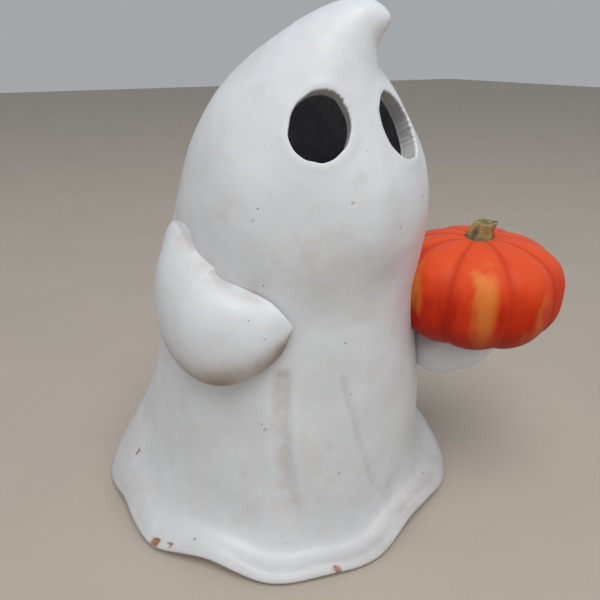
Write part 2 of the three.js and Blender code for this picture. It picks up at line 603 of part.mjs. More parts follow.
function batteryBox() {
  const outward = BOX_HALF_LENGTH + EAR_LENGTH;
  const ears = [-1, 1].map((side) => slab(both(outward),
    [side * EAR_OFFSET - EAR_WIDTH / 2, side * EAR_OFFSET + EAR_WIDTH / 2], [TOP, TOP + EAR_THICKNESS]));
  const slotHalfWidth = TAB_WIDTH / 2 + TAB_CLEARANCE;
  const slotHalfHeight = TAB_THICKNESS / 2 + TAB_CLEARANCE;
  const tabSlot = (end) => slab(both(BOX_WALL + PAST), both(slotHalfWidth), both(slotHalfHeight))
    .translate(end * BAY_HALF_LENGTH, -end * BATTERY_PITCH, BATTERY_LEVEL);
  return cut(
    join(slab(both(BOX_HALF_LENGTH), both(BOX_HALF_WIDTH), [TOP, ROOF_TOP]), ...ears),
    slab(both(BAY_HALF_LENGTH), both(BAY_HALF_WIDTH), [TOP - PAST, ROOF_LEVEL]),
    tabSlot(-1),
    tabSlot(1),
    ...boxEars.map(([x, y]) => hole(x, y, TOP - PAST, TOP + EAR_THICKNESS + PAST)),
    ...postHoles.map(([x, y]) => hole(x, y, ROOF_LEVEL - PAST, ROOF_TOP + PAST)),
  );
}

function batteryDoor() {
  const leaf = slab([HINGE_X, DOOR_EDGE], both(DOOR_HALF_WIDTH), [0, DOOR_THICKNESS]);
  const latch = slab([0, DOOR_EDGE + LATCH_LENGTH], both(LATCH_WIDTH / 2), [0, DOOR_THICKNESS]);
  const alongY = (radius, half) =>
    disc(radius, -half, half, 16).rotateX(PI / 2).translate(HINGE_X, 0, HINGE_LEVEL);
  return cut(
    join(leaf, latch, alongY(HINGE_RADIUS, DOOR_HALF_WIDTH),
      alongY(HINGE_PIN_RADIUS, DOOR_HALF_WIDTH + HINGE_PIN_LENGTH)),
    hole(LATCH_X, 0, -PAST, DOOR_THICKNESS + PAST),
    hole(LATCH_X, 0, -PAST, COUNTERBORE, SCREW_HEAD_RADIUS + SCREW_CLEARANCE),
  );
}

// Pan-head screw pointing down from z = 0, with a slot across its head.
function screw(length) {
  const blank = lathe([[0, -length], [SCREW_RADIUS / 2, -length], [SCREW_RADIUS, -length + SCREW_TIP],
    [SCREW_RADIUS, 0], [SCREW_HEAD_RADIUS, 0], [SCREW_HEAD_RADIUS, SCREW_HEAD_HEIGHT / 2],
    [SCREW_HEAD_RADIUS * 0.7, SCREW_HEAD_HEIGHT], [0, SCREW_HEAD_HEIGHT]], 8);
  return cut(blank, slab(both(SCREW_HEAD_RADIUS + PAST), both(SCREW_SLOT / 2),
    [SCREW_HEAD_HEIGHT / 2, SCREW_HEAD_HEIGHT + PAST]));
}

function battery() {
  const half = BATTERY_LENGTH / 2;
  const body = half - BATTERY_NUB;
  const inner = BATTERY_RADIUS - BATTERY_EDGE;
  return lathe([[0, -half], [inner, -half], [BATTERY_RADIUS, -half + BATTERY_EDGE],
    [BATTERY_RADIUS, body - BATTERY_EDGE], [inner, body], [BATTERY_NUB_RADIUS, body],
    [BATTERY_NUB_RADIUS, half], [0, half]], 16);
}

// Conical coil from its wide seat at z = 0 to its narrow tip.
function contactSpring() {
  const seat = SPRING_WIRE + SPRING_SEAT_GAP;
  const count = SPRING_TURNS * 8;
  const route = steps(count).map((share) => {
    const radius = SPRING_RADIUS + (SPRING_TIP_RADIUS - SPRING_RADIUS) * share;
    const angle = 2 * PI * SPRING_TURNS * share;
    return [radius * cos(angle), radius * sin(angle), seat + (SPRING_ROOM - 2 * seat) * share];
  });
  return tube(route, SPRING_WIRE, 5, count);
}

function contactPlate(y0, y1, tabAt) {
  const half = CONTACT_HEIGHT / 2;
  const plate = slab([0, CONTACT_THICKNESS], [y0, y1], both(half));
  if (tabAt === undefined) return plate;
  const tab = slab([-TAB_LENGTH, CONTACT_THICKNESS / 2], [tabAt - TAB_WIDTH / 2, tabAt + TAB_WIDTH / 2],
    both(TAB_THICKNESS / 2));
  return join(plate, tab);
}

function switchCase() {
  const bottom = [TOP, TOP + SWITCH_EAR_THICKNESS];
  const blank = join(
    slab(both(SWITCH_LENGTH / 2), both(SWITCH_WIDTH / 2), [TOP, TOP + SWITCH_HEIGHT]),
    slab(both(SWITCH_LENGTH / 2 + SWITCH_EAR), both(SWITCH_WIDTH / 2 - SWITCH_EAR_INSET), bottom),
    ...[-1, 0, 1].map((k) => at(slab(both(TERMINAL_THICKNESS / 2), both(TERMINAL_WIDTH / 2),
      [TOP + SWITCH_HEIGHT - PAST, TOP + SWITCH_HEIGHT + TERMINAL_HEIGHT]), k * TERMINAL_PITCH, 0)),
  );
  const pocketHalf = KNOB_TRAVEL / 2 + SLIDER_LENGTH / 2 + SLIDE_GAP;
  return cut(
    blank,
    slab(both(pocketHalf), both(SLIDER_WIDTH / 2 + SLIDE_GAP),
      [TOP - PAST, TOP + SLIDER_HEIGHT + 2 * SLIDE_GAP]),
    ...both(SWITCH_HOLE).map((x) => hole(x, 0, TOP - PAST, TOP + SWITCH_EAR_THICKNESS + PAST)),
  );
}

function switchKnob() {
  const base = TOP + SLIDE_GAP;
  return join(
    slab(both(SLIDER_LENGTH / 2), both(SLIDER_WIDTH / 2), [base, base + SLIDER_HEIGHT]),
    slab(both(KNOB_SIZE / 2), both(KNOB_SIZE / 2), [-KNOB_DROP, base + SLIDER_HEIGHT / 2]),
  );
}

function lampPost() {
  const [footWidth, footHeight] = POST_FOOT;
  const blank = lathe([[0, ROOF_TOP], [POST_FLANGE_RADIUS, ROOF_TOP], [POST_FLANGE_RADIUS, FLANGE_TOP],
    [POST_RADIUS + footWidth, FLANGE_TOP], [POST_RADIUS, FLANGE_TOP + footHeight], [POST_RADIUS, TABLE_LEVEL],
    [TABLE_RADIUS, TABLE_LEVEL], [TABLE_RADIUS, LAMP_LEVEL], [0, LAMP_LEVEL]], 24);
  const [from, to, half] = WIRE_SLOT;
  return cut(
    blank,
    slab(both(half), [from, to], [TABLE_LEVEL - PAST, LAMP_LEVEL + PAST]),
    ...postHoles.map(([x, y]) => hole(x, y, ROOF_TOP - PAST, FLANGE_TOP + PAST)),
  );
}

function diffuser() {
  const straight = DIFFUSER_HEIGHT - TABLE_RADIUS;
  const dome = (radius, falling) => steps(DOME_STEPS).map((share) => {
    const angle = (PI / 2) * (falling ? 1 - share : share);
    return [radius * cos(angle), LAMP_LEVEL + straight + radius * sin(angle)];
  });
  const inside = TABLE_RADIUS - DIFFUSER_WALL;
  const outer = dome(TABLE_RADIUS, false);
  const inner = dome(inside, true);
  return lathe([...outer.slice(0, -1), [0, outer[DOME_STEPS][1]], [0, inner[0][1]], ...inner.slice(1),
    [inside, LAMP_LEVEL], [TABLE_RADIUS, LAMP_LEVEL], outer[0]], 24);
}

function led() {
  const [rimWidth, rimHeight] = LED_RIM;
  const dome = steps(DOME_STEPS - 1).map((share) => [LED_RADIUS * cos(share * PI / 2),
    LED_HEIGHT - LED_RADIUS + LED_RADIUS * sin(share * PI / 2)]);
  return lathe([[0, 0], [LED_RADIUS + rimWidth, 0], [LED_RADIUS + rimWidth, rimHeight],
    [LED_RADIUS, rimHeight], ...dome.slice(0, -1), [0, LED_HEIGHT]], 14);
}

// Round part lying along X, its middle stretch narrowed to a share of its radius.
function lyingPart({ length, radius, neck }) {
  const half = length / 2;
  return lengthways(lathe([[0, -half], [radius, -half], [radius, -half / 2], [radius * neck, -half * 0.4],
    [radius * neck, half * 0.4], [radius, half / 2], [radius, half], [0, half]], 12));
}

// Wires: each route runs from the face of one terminal to the face of the next, its points chosen by hand.
const onBoard = BOARD_TOP + WIRE_RADIUS + WIRE_GAP;
const atTerminal = TERMINAL_PITCH + TERMINAL_THICKNESS / 2 + WIRE_RADIUS + WIRE_GAP;
const terminalMiddle = TOP + SWITCH_HEIGHT + TERMINAL_HEIGHT / 2;
const overEars = TOP + EAR_THICKNESS + SCREW_HEAD_HEIGHT + 2;
const tabEnd = BAY_HALF_LENGTH + TAB_LENGTH + WIRE_TAB_GAP;
const cornerX = BOX_HALF_LENGTH + 6;
const boardRim = BOARD_Y - BOARD_WIDTH / 2;
const WIRES = {
  wire_battery_plus: [
    [-tabEnd, BATTERY_PITCH, BATTERY_LEVEL], [-tabEnd - 1.9, BATTERY_PITCH - 0.8, BATTERY_LEVEL],
    [-cornerX, 6, overEars + 1], [-cornerX, -12, overEars], [-cornerX + 4, -BOX_HALF_WIDTH, overEars],
    [-atTerminal - 11, SWITCH_Y, terminalMiddle], [-atTerminal, SWITCH_Y, terminalMiddle],
  ],
  wire_switch_board: [
    [atTerminal, SWITCH_Y, terminalMiddle], [atTerminal + 11, SWITCH_Y, terminalMiddle],
    [cornerX + 1, -BOX_HALF_WIDTH, overEars], [cornerX + 5, 0, overEars],
    [cornerX, BOX_HALF_WIDTH - 4, overEars], [22, BOARD_Y - 4, BOARD_TOP + 3], [15.5, BOARD_Y - 5, onBoard],
  ],
  wire_battery_minus: [
    [tabEnd, -BATTERY_PITCH, BATTERY_LEVEL], [tabEnd + 1.9, 0.8 - BATTERY_PITCH, BATTERY_LEVEL],
    [cornerX - 1, -4, overEars + 3], [cornerX - 1, 10, overEars + 4],
    [cornerX - 2, BOX_HALF_WIDTH, overEars + 4], [24, boardRim + 1.5, overEars + 3],
    [12, BOARD_Y - 4, BOARD_TOP + 3], [9, BOARD_Y - 4, onBoard],
  ],
};
const LED_WIRE_OFFSET = 1.7;         // of each wire beside the middle of the post's front
const upPost = POST_RADIUS + POST_FOOT[0] + WIRE_RADIUS + WIRE_GAP;
for (const [side, name] of [[-1, 'wire_led_plus'], [1, 'wire_led_minus']]) {
  const x = side * LED_WIRE_OFFSET;
  WIRES[name] = [
    [x * 2 - 4, BOARD_Y - 5, onBoard], [x * 2 - 3, boardRim - 0.2, BOARD_TOP + 6],
    [x * 1.5, BOX_HALF_WIDTH + 1.4, ROOF_TOP + 0.8], [x, BOX_HALF_WIDTH - 4, ROOF_TOP + 2.2],
    [x, POST_FLANGE_RADIUS - 2, FLANGE_TOP + 1.4], [x, upPost, FLANGE_TOP + 5], [x, upPost, TABLE_LEVEL],
    [x, upPost, LAMP_LEVEL - WIRE_GAP],
  ];
}

// Scene graph.

function piece(parent, name, geometry, material, x = 0, y = 0, z = 0) {
  const mesh = new THREE.Mesh(geometry, material);
  mesh.name = name;
  mesh.position.set(x, y, z);
  parent.add(mesh);
  return mesh;
}

const ghost = new THREE.Group();
piece(ghost, 'ghost_shell', ghostShell(), WHITE_GLAZE);
piece(ghost, 'right_arm', rightArm(), WHITE_GLAZE);
piece(ghost, 'left_arm', leftArm(), WHITE_GLAZE);
piece(ghost, 'pumpkin', cut(pumpkinSkin(), grownBody), ORANGE_GLAZE);
piece(ghost, 'pumpkin_stem', pumpkinStem(), STEM_GLAZE);

const lightUnit = new THREE.Group();
lightUnit.position.z = PLATE_RECESS;
ghost.add(lightUnit);
piece(lightUnit, 'base_plate', basePlate(), WHITE_PLASTIC);
const seal = ring(PLATE_RADIUS - SEAL_WIDTH, PLATE_RADIUS, TOP, TOP + SEAL_THICKNESS);
piece(lightUnit, 'seal_ring', seal, RUBBER);
piece(lightUnit, 'battery_box', batteryBox(), BLACK_PLASTIC);
const screws = (name, places, length, level) => places.forEach(([x, y], i) =>
  piece(lightUnit, `${name}_${i + 1}`, screw(length), STEEL, x, y, level));
screws('box_screw', boxEars, EAR_THICKNESS + SCREW_BITE, TOP + EAR_THICKNESS);
piece(lightUnit, 'battery_door', batteryDoor(), WHITE_PLASTIC);
const doorScrew = screw(DOOR_THICKNESS - COUNTERBORE + DOOR_GAP + DOOR_SCREW_BITE);
piece(lightUnit, 'door_screw', doorScrew, STEEL, LATCH_X, 0, COUNTERBORE).rotation.x = PI;

const rowOf = (i) => (1 - i) * BATTERY_PITCH;
const contactX = BAY_HALF_LENGTH - CONTACT_THICKNESS;
for (let i = 0; i < BATTERY_COUNT; i++) {
  const towards = i % 2 === 0 ? -1 : 1;
  const stand = (name, geometry, material, x) =>
    piece(lightUnit, `${name}_${i + 1}`, geometry, material, x, rowOf(i), BATTERY_LEVEL);
  stand('battery', battery(), CELL_SKIN, towards * SPRING_ROOM / 2).rotation.y = towards * PI / 2;
  stand('contact_spring', contactSpring(), STEEL, -towards * contactX).rotation.y = towards * PI / 2;
}
const plateHalf = (BATTERY_PITCH - CONTACT_GAP) / 2;
const linkSpan = (from, to) => contactPlate(rowOf(to) - plateHalf, rowOf(from) + plateHalf);
piece(lightUnit, 'link_plate_1', linkSpan(0, 1), STEEL, contactX, 0, BATTERY_LEVEL);
piece(lightUnit, 'link_plate_2', linkSpan(1, 2), STEEL, -BAY_HALF_LENGTH, 0, BATTERY_LEVEL);
piece(lightUnit, 'plus_plate', contactPlate(rowOf(0) - plateHalf, rowOf(0) + plateHalf, rowOf(0)), STEEL,
  -BAY_HALF_LENGTH, 0, BATTERY_LEVEL);
piece(lightUnit, 'minus_plate', contactPlate(rowOf(0) - plateHalf, rowOf(0) + plateHalf, rowOf(0)), STEEL,
  BAY_HALF_LENGTH, 0, BATTERY_LEVEL).rotation.z = PI;

piece(lightUnit, 'switch_case', switchCase(), BLACK_PLASTIC, 0, SWITCH_Y);
screws('switch_screw', switchHoles, SWITCH_EAR_THICKNESS + SCREW_BITE, TOP + SWITCH_EAR_THICKNESS);
piece(lightUnit, 'switch_knob', switchKnob(), BLACK_PLASTIC, -KNOB_TRAVEL / 2, SWITCH_Y);

const boardBlank = slab(both(BOARD_LENGTH / 2), both(BOARD_WIDTH / 2), [0, BOARD_THICKNESS]);
const boardPlate = cut(boardBlank, ...both(BOARD_POST_OFFSET).map((x) =>
  hole(x, 0, -PAST, BOARD_THICKNESS + PAST)));
const chip = slab(both(CHIP.length / 2), both(CHIP.width / 2), [0, CHIP.height]);
piece(lightUnit, 'circuit_board', boardPlate, BOARD_GREEN, 0, BOARD_Y, BOARD_LEVEL);
piece(lightUnit, 'timer_chip', chip, BLACK_PLASTIC, CHIP.x, BOARD_Y + CHIP.y, BOARD_TOP);
for (const [name, part, material] of [['crystal', CRYSTAL, STEEL], ['resistor', RESISTOR, TAN_BODY]]) {
  const level = BOARD_TOP + part.radius + LEAD_GAP;
  piece(lightUnit, name, lyingPart(part), material, part.x, BOARD_Y + part.y, level);
}
screws('board_screw', boardHoles, BOARD_THICKNESS + BOARD_SCREW_BITE, BOARD_TOP);

piece(lightUnit, 'lamp_post', lampPost(), WHITE_PLASTIC);
screws('post_screw', postHoles, POST_FLANGE_THICKNESS + SCREW_BITE, FLANGE_TOP);
piece(lightUnit, 'lamp_board', disc(LAMP_BOARD_RADIUS, 0, BOARD_THICKNESS), BOARD_GREEN, 0, 0, LAMP_LEVEL);
piece(lightUnit, 'led', led(), CLEAR, 0, 0, LAMP_BOARD_TOP);
piece(lightUnit, 'diffuser', diffuser(), FROSTED);
for (const [name, route] of Object.entries(WIRES)) {
  const material = name.includes('plus') || name.includes('switch') ? RED_WIRE : BLACK_WIRE;
  piece(lightUnit, name, tube(route, WIRE_RADIUS, WIRE_SIDES, WIRE_STEPS), material);
}

// The origin is on the table, under the middle of the whole figure.
const span = new THREE.Box3().setFromObject(ghost, true);
ghost.position.x = -(span.min.x + span.max.x) / 2;
ghost.position.y = -(span.min.y + span.max.y) / 2;

export default ghost;
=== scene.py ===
# Looks of a ceramic sheet ghost that carries a pumpkin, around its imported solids.
import json
from math import cos, pi, radians, sin

import bpy
import numpy as np
from mathutils import Matrix, Vector


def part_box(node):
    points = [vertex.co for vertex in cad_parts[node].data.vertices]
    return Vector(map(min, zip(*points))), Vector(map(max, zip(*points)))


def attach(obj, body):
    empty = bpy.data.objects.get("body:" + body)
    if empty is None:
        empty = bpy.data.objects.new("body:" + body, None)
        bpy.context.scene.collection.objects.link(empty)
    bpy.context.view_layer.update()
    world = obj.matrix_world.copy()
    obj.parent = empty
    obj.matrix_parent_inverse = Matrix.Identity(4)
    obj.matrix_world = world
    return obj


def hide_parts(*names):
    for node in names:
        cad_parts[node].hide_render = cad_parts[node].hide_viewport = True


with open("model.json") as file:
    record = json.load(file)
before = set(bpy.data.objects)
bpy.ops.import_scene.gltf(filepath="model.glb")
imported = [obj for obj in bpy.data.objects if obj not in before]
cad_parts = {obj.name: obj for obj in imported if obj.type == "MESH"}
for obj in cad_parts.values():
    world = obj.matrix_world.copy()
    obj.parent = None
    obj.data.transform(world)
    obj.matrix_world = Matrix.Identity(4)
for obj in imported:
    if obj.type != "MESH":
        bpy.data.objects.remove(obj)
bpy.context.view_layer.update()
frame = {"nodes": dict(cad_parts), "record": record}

# Shape of the ghost, in millimetres and degrees, from the axis of its foot.
# Body rows: [lean towards the front, height, radius, lean to its left], one per level of the spine.
BODY = [
    [0, 0, 80.5, 0], [0, 9, 76.3, 0], [1.5, 19, 70.6, 0], [6, 34, 65, 0], [10.8, 56, 59.8, 0],
    [13.5, 85, 55.3, 0], [16.6, 112, 52.2, 0], [25.8, 138, 47.8, 0], [31.8, 160, 43.2, 0],
    [36.7, 174.7, 34.3, 0.7], [42.6, 188.5, 20.4, 2], [46.6, 195.4, 11.6, 5.2], [50, 199.3, 9, 9.5],
    [55.3, 200.2, 6.2, 14],
]
WALL = 8.0
CROWN_ROUND = 0.84  # share of the spine at which the crown starts to round off
CROWN_PLAIN = 0.885  # and at which the relief starts to fade
HOLLOW_ROUND = 0.75  # and at which the hollow starts to round off
HOLLOW_TOP = 0.8
HOLLOW_RADIUS = 57.5
POCKET_RADIUS = 61.3
POCKET_TOP = 7.2
FOOT_LIP = 8.0

# Hem lobes: azimuth, half width, how far the lobe stands out.
LOBES = [
    (-106, 15, 4.5), (-68, 13, 4.2), (-28, 15, 5), (-2, 14, 4.9), (45, 17, 5.2), (95, 16, 4.5),
    (143, 17, 4.5), (-158, 17, 4.8),
]
LOBE_MEAN = 0.5
LOBE_FULL = 5.0  # a lobe that stands out this far has the least lift
HEM_BOTTOM = 2.0  # levels between which the lobes run out
HEM_TOP = 36.0
HEM_LIFT = 5.0  # of the edge between two lobes
HEM_LEAST_LIFT = 0.8
HEM_LIFT_TOP = 26.0
HEM_EDGE = 2.0
HEM_UNDERCUT = 1.5
FOLD = dict(share=0.3, level=2, full=20, fade=40, to=100)
NOSE = dict(start=132, full=150, fade=172, to=186, spread=9, proud=1.6)
CHEEKS = dict(height=143, spread=55, band=13, proud=1.6)
# Finger grooves: (azimuth, height) at the top and at the foot, bow, half width in degrees, depth.
GROOVES = [((-32, 92), (-22.5, 28), -3.2, 3.0, 2.4), ((-8.5, 88), (14, 25), -2.2, 0.95, 1.1)]
GROOVE_SQUARE = 2.8  # more is steeper at the sides
GROOVE_TOP = (-0.04, 0.08)  # shares of its length over which a groove starts
GROOVE_FOOT = (0.7, 1.1)  # and ends

# Eye holes: azimuth, height of the section of the centre, half width and height, lean of the top.
EYE_HOLES = [(-33.6, 178.2, (9.4, 11.3), 20), (30.2, 179.3, (9.9, 12.2), 29)]
EYE_TURN = 19.0
EYE_RISE = 22.0
EYE_EDGE = 0.5  # radius of the rounded rim
EYE_ROUGH = 0.03  # unevenness of the hand-cut outline
EYE_WAVES = (2, 3, 5, 8, 13)  # its waves in one turn
EYE_WAVE_FADE = 0.7  # how much flatter the short ones are
CRUMB_WAVES = (19, 29, 41)
CRUMBLED = {-1: (62, 34), 1: (-20, 55)}  # middle and half width of the broken stretch of each eye
CRUMB_SIZE = 0.012
CRUMB_FADE = 4.0  # how fast the crumbling dies out inwards
RIM_PROUD = 0.2  # paint and clay pushed up round the cut
RIM_SPREAD = 1.6
TUNNEL_ROUGH = 0.12  # unevenness of the cut through the wall
TUNNEL_ROUGH_LENGTH = 6
TUNNEL_FLARE = 0.35  # how much wider the hole is at the hollow
HOLLOW_MARGIN = 0.6  # of the hollow's skin taken away round the hole

# Arms: azimuth, height, how far the axis lies outside the body, half height, half depth.
RIGHT_ARM = [
    (-116, 126, -8, 11, 8), (-103, 119, -7, 20.5, 10), (-86, 107, -3, 22.5, 12.5),
    (-64.5, 100, 1, 23, 13.5), (-54.5, 101, 4, 20, 12), (-43.5, 103, 2, 15.5, 9.5),
    (-34.5, 106, -0.3, 9, 6), (-29.5, 106.5, -2, 2.8, 3.5),
]
LEFT_ARM = [(108, 127, -4, 11, 8), (96, 112, 1, 18, 12), (84, 95, 6.5, 19, 14), (70, 79, 11, 17, 15)]
LEFT_HAND = [(-9, 12, 10, 14.5, 14), (0, 3, 8.5, 12, 12), (12, -6, 3.5, 8, 9.5)]
ARM_END_ROUND = 0.14
ARM_SHARES = (0.1, 0.65)  # stretch of the spine that the arms lie beside
ARM_ENDS = (0.01, 0.99)  # shares of an arm's length that its rings cover
TOWARDS_BODY = (-0.2, 0.5)  # cosines over which its side turns to the body
UPPER_SIDE = (-0.3, 0.3)  # sines over which it turns to the top
LOWER_SIDE = (-0.2, 0.6)  # to the foot
UNDERSIDE = (0.2, 0.85)  # and to the part with painted shade
ARM_SHADE_START = (0.15, 0.35)  # shares of its length over which the painted shade sets in
SHOULDER = (0.32, 0.08)  # over which the shoulder spreads
SHOULDER_JOINT = (0.3, 0.02)  # and its joint softens
HAND = (0.6, 0.92)  # over which the hand spreads
HAND_JOINT = (0.62, 0.97)  # and its joint softens
HAND_TIP = (0.7, 1)  # and over which its tip goes down
ARM_SINK = 0.4  # how deep the hidden side of an arm lies under the body's skin
CREASE_BLEND = 1.5  # softness of the joint on top of an arm
UNDER_BLEND = 3.0  # below it
HAND_BLEND = 9.0  # round the hand's tip
SHOULDER_BLEND = 8.0  # and where the arm grows out of the shoulder
CLAY_SPREAD = 0.06  # how much an arm's side towards the body is drawn out over it
HAND_SPREAD = 0.35  # more of that on top of the hand
SHOULDER_SPREAD = 0.25  # and at the shoulder
ARM_ROWS = 150
ARM_SIDES = 120
HAND_FLAT = 0.3  # how much lower the tip lies than the sleeve's own shape

PUMPKIN_RADIUS = 35.0
PUMPKIN_HALF_HEIGHT = 22.0
PUMPKIN_LEVEL = 100.3
PUMPKIN_AZIMUTH = 56.3
PUMPKIN_NEST = 11.4
PUMPKIN_RIBS = 9
RIB_DEPTH = 0.05
RIB_START = 23.0
RIB_FULLNESS = 0.75
PUMPKIN_FULLNESS = (0.73, 0.74)
DIMPLE_DEPTH = 1.5
DIMPLE_RADIUS = 9.0
STEM_RADIUS = 4.4
STEM_FLARE = 6.8
STEM_HEIGHT = 6.5
STEM_LEAN = 2.0
STEM_RIBS = 5
STEM_RIB = (1.02, 0.09)  # mean reach and depth of its ribs, as shares of its radius
STEM_SINK = 1  # how deep it stands in the dimple
STEM_CUT = ((0.9, -0.25), (0.7, 0), (0.4, 0.5), (0.15, 0.8))  # rings of its hollow top: reach, drop
STEM_ROUGH = np.array([0.25, 0.25, 0.075])
STEM_ROUGH_LENGTH = 7
PUMPKIN_ENDS = (0.004, 0.996)  # shares of its height that its rings cover
PUMPKIN_SWELL = (30, 0.012)  # unevenness: wavelength, height as a share of the radius
PUMPKIN_DENT = (8, 0.003)

# Flaws of the paint, and a painted shadow among the stains: azimuth, height, half width, half height,
# and then a depth or a strength.
CHIPS = [
    (-95, 20.8, 1.0, 2.2, 0.5), (-66, 4.5, 1.8, 1.5, 0.6), (-61, 6.0, 0.9, 0.8, 0.4),
    (-12, 3.0, 1.6, 1.2, 0.6),
]
PINHOLES = [
    (-53, 149.1), (-37.6, 67.8), (-14.4, 69.4), (-17, 80.1), (11.2, 150.1), (-13.3, 159.3),
    (-51.5, 127.8),
]
PINHOLE_SIZE = 0.42
PINHOLE_DEPTH = 0.5
PINHOLE_STRENGTH = 0.6
PITS = [
    (-16.7, 152.6), (-15.1, 148.9), (-17.8, 150.2), (-57.4, 126.0), (-22.9, 173.0), (-12.5, 139.0),
    (9.5, 142.0), (12.5, 139.5), (-11.0, 136.5), (-47.0, 118.0), (6.0, 137.0),
]
PIT_SIZE = 0.6
PIT_DEPTH = 0.22
STAINS_AND_SHADE = [
    (-9.4, 167.0, 3.2, 3.2, 0.22), (-37.1, 143.9, 4.5, 6.5, 0.12), (-34.6, 134.5, 3.0, 1.2, 0.3),
    (-15.9, 151.0, 5.0, 6.5, 0.1), (10.5, 141.0, 4.0, 3.0, 0.2), (-3.0, 172.0, 2.6, 10.0, 0.1),
    # The broad spot at (-22, 142) is stain and painted shadow under the head.
    (-28.0, 158.0, 8.0, 5.0, 0.1), (-22.0, 142.0, 26.0, 13.0, 0.16),
    (-19.0, 60.0, 9.0, 20.0, 0.14),
]
SPOT_EDGE = 0.75  # share of a spot's size at which its edge starts
LARGE_SPOT_EDGE = 0.1
LARGE_SPOT = 3.0
SPOT_RAGGED = 0.25  # unevenness of a spot's edge, as a share of its size
SPOT_RAGGED_LENGTH = 1.7
# Marks go by the point's own height under the first level, and by the spine's over the second.
MARK_LEVELS = (8.0, 14.0)
WAVES = [(46.0, 0.35), (19.0, 0.16), (8.0, 0.05)]  # hand-finished clay: wavelength, height
WAVE_COUNT = 14  # plane waves that add up to one unevenness
HEM_DRIFT = 0.15  # unevenness of the hem's edge
HEM_DRIFT_LENGTH = 14
HEM_FOOT_CURVE = 1.3  # how the hem's underside comes down to the foot

GROOVE_STAINS = (0.34, 0.12)
CREASE_STAIN = 0.45
CREASE_SHARES = (0.05, 0.75, 40)  # stretch of an arm's length that has a crease, and its points
BODY_CREASE_WIDTH = 4.0
ARM_CREASE_WIDTH = 3.5
RAW_EDGE = (0.86, 0.99)  # shares of the wall over which the paint ends in an eye hole
UNDER_ARM_SHADE = 1.0  # painted shade below an arm
DUST_AND_SHADE_TOP = 45.0  # height up to which there are dust and painted shade
DUST_AND_SHADE_PATCHES = [(-100, 45, 0.22), (30, 34, 0.5), (-25, 60, 0.22)]  # azimuth, spread and strength of each patch of dust and painted shade

SEED = 31
MM = 0.001

# Fineness of the figure's mesh.
AZIMUTHS = 400
SHARES = 330
SKIRT_START = 0.03
CROWN_ROWS = 26
CROWN_END = 87.0  # degrees of the rounded tip that rings cover
HEM_ROWS = 7
HOLLOW_ROWS = 60
HOLLOW_START = 0.07
HOLLOW_CROWN = (8, 10)  # first angle and number of rings of the hollow's rounded top
WINDOW_MARGIN = 7.0  # of the grid cut away round an eye, in millimetres
EDGE_RINGS = 7
RIM_GAPS = (0.5, 1.1, 1.8, 2.6)  # rings beyond the rounded rim, in millimetres
BLEND_RINGS = 8
BLEND_EASE = 1.4  # more brings these rings closer to the rim
TUNNEL_RINGS = 10
DEPTH_SPREAD = 8  # neighbours on each side that even out a tunnel's depth

# How the surfaces are measured.
CURVE_POINTS = 2000
SPINE_STEP = 1e-3  # shares of a curve between which its direction is taken
SKIN_STEP = (5e-4, 0.2)  # share and degrees between which the skin's direction is taken
SEARCH_STEP = (1e-4, 0.01)  # and the slopes of a search for a point on it
SEARCH_ROUNDS = 12
FAR = 1e3  # stands for a point on the other side of the body
WALL_START = 0.4  # share of the spine from which the wall is measured at the eyes
WALL_MARGIN = 0.002
WALL_SECTIONS = 220
WALL_STEP = 0.25
WALL_REACH = 3.0  # how far inwards, in walls
WALL_MOST = 2.2
SECTION_GAP = 1.5  # of a point from its section
ARM_SECTIONS = 500

# The photograph's camera, from the axis of the foot, in metres and degrees.
CAMERA_AZIMUTH = -30.0
CAMERA_DISTANCE = 0.234
CAMERA_ASIDE = 0.0113
CAMERA_HEIGHT = 0.1909
CAMERA_PITCH = 24.44
PICTURE_SIZE = 600
FOCAL_PIXELS = 550
SENSOR_WIDTH = 36
CLIP_START = 0.01

# Surroundings, in metres. Lamps: name, place, diameter and power.
FLOOR_SIZE = 6.0
FLOOR_COLOUR = (0.50, 0.44, 0.37)
FLOOR_SHADE = 0.96
FLOOR_ROUGHNESS = 0.6
WORLD_COLOUR = (0.93, 0.96, 1.0)
WORLD_STRENGTH = 0.40
LAMPS = [
    ("key", (-0.16, -0.5, 1.15), 0.9, 8.7), ("left", (-1.4, -0.7, 0.9), 1.2, 1.8),
    ("right", (1.4, -1.2, 0.9), 1.2, 1.4),
]
LAMP_AIM = 0.1  # height at which the lamps look

# Colours, some as the two between which noise mixes.
WHITE = ((0.695, 0.715, 0.735), (0.75, 0.775, 0.80))
WARM_WHITE = (0.62, 0.57, 0.52)
# Dark brown of the painted shade under the arms and of the dust and painted shade low on the skirt.
SHADE_AND_DUST_BROWN = (0.30, 0.225, 0.17)
# Beige of the stains and of the painted shadow under the head.
BEIGE_STAIN_AND_SHADE = (0.47, 0.37, 0.27)
SPECK = (0.22, 0.19, 0.17)
TERRACOTTA = (0.36, 0.155, 0.075)
RAW_CLAY = ((0.60, 0.60, 0.64), (0.74, 0.73, 0.76))
ORANGE = ((0.53, 0.013, 0.002), (0.69, 0.045, 0.006))
LIT_ORANGE = (0.80, 0.105, 0.032)
GOLD = (0.74, 0.24, 0.045)
GROOVE_RED = (0.42, 0.018, 0.005)
FOOT_RED = (0.30, 0.012, 0.005)
OLIVE = ((0.10, 0.075, 0.035), (0.30, 0.22, 0.08))
YELLOW_DAB = (0.40, 0.33, 0.06)
DARK_GREEN = (0.045, 0.055, 0.02)

plate_low, plate_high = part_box("base_plate")
AXIS = np.array([(plate_low.x + plate_high.x) / 2, (plate_low.y + plate_high.y) / 2, 0.0])


# Curves and bumps.

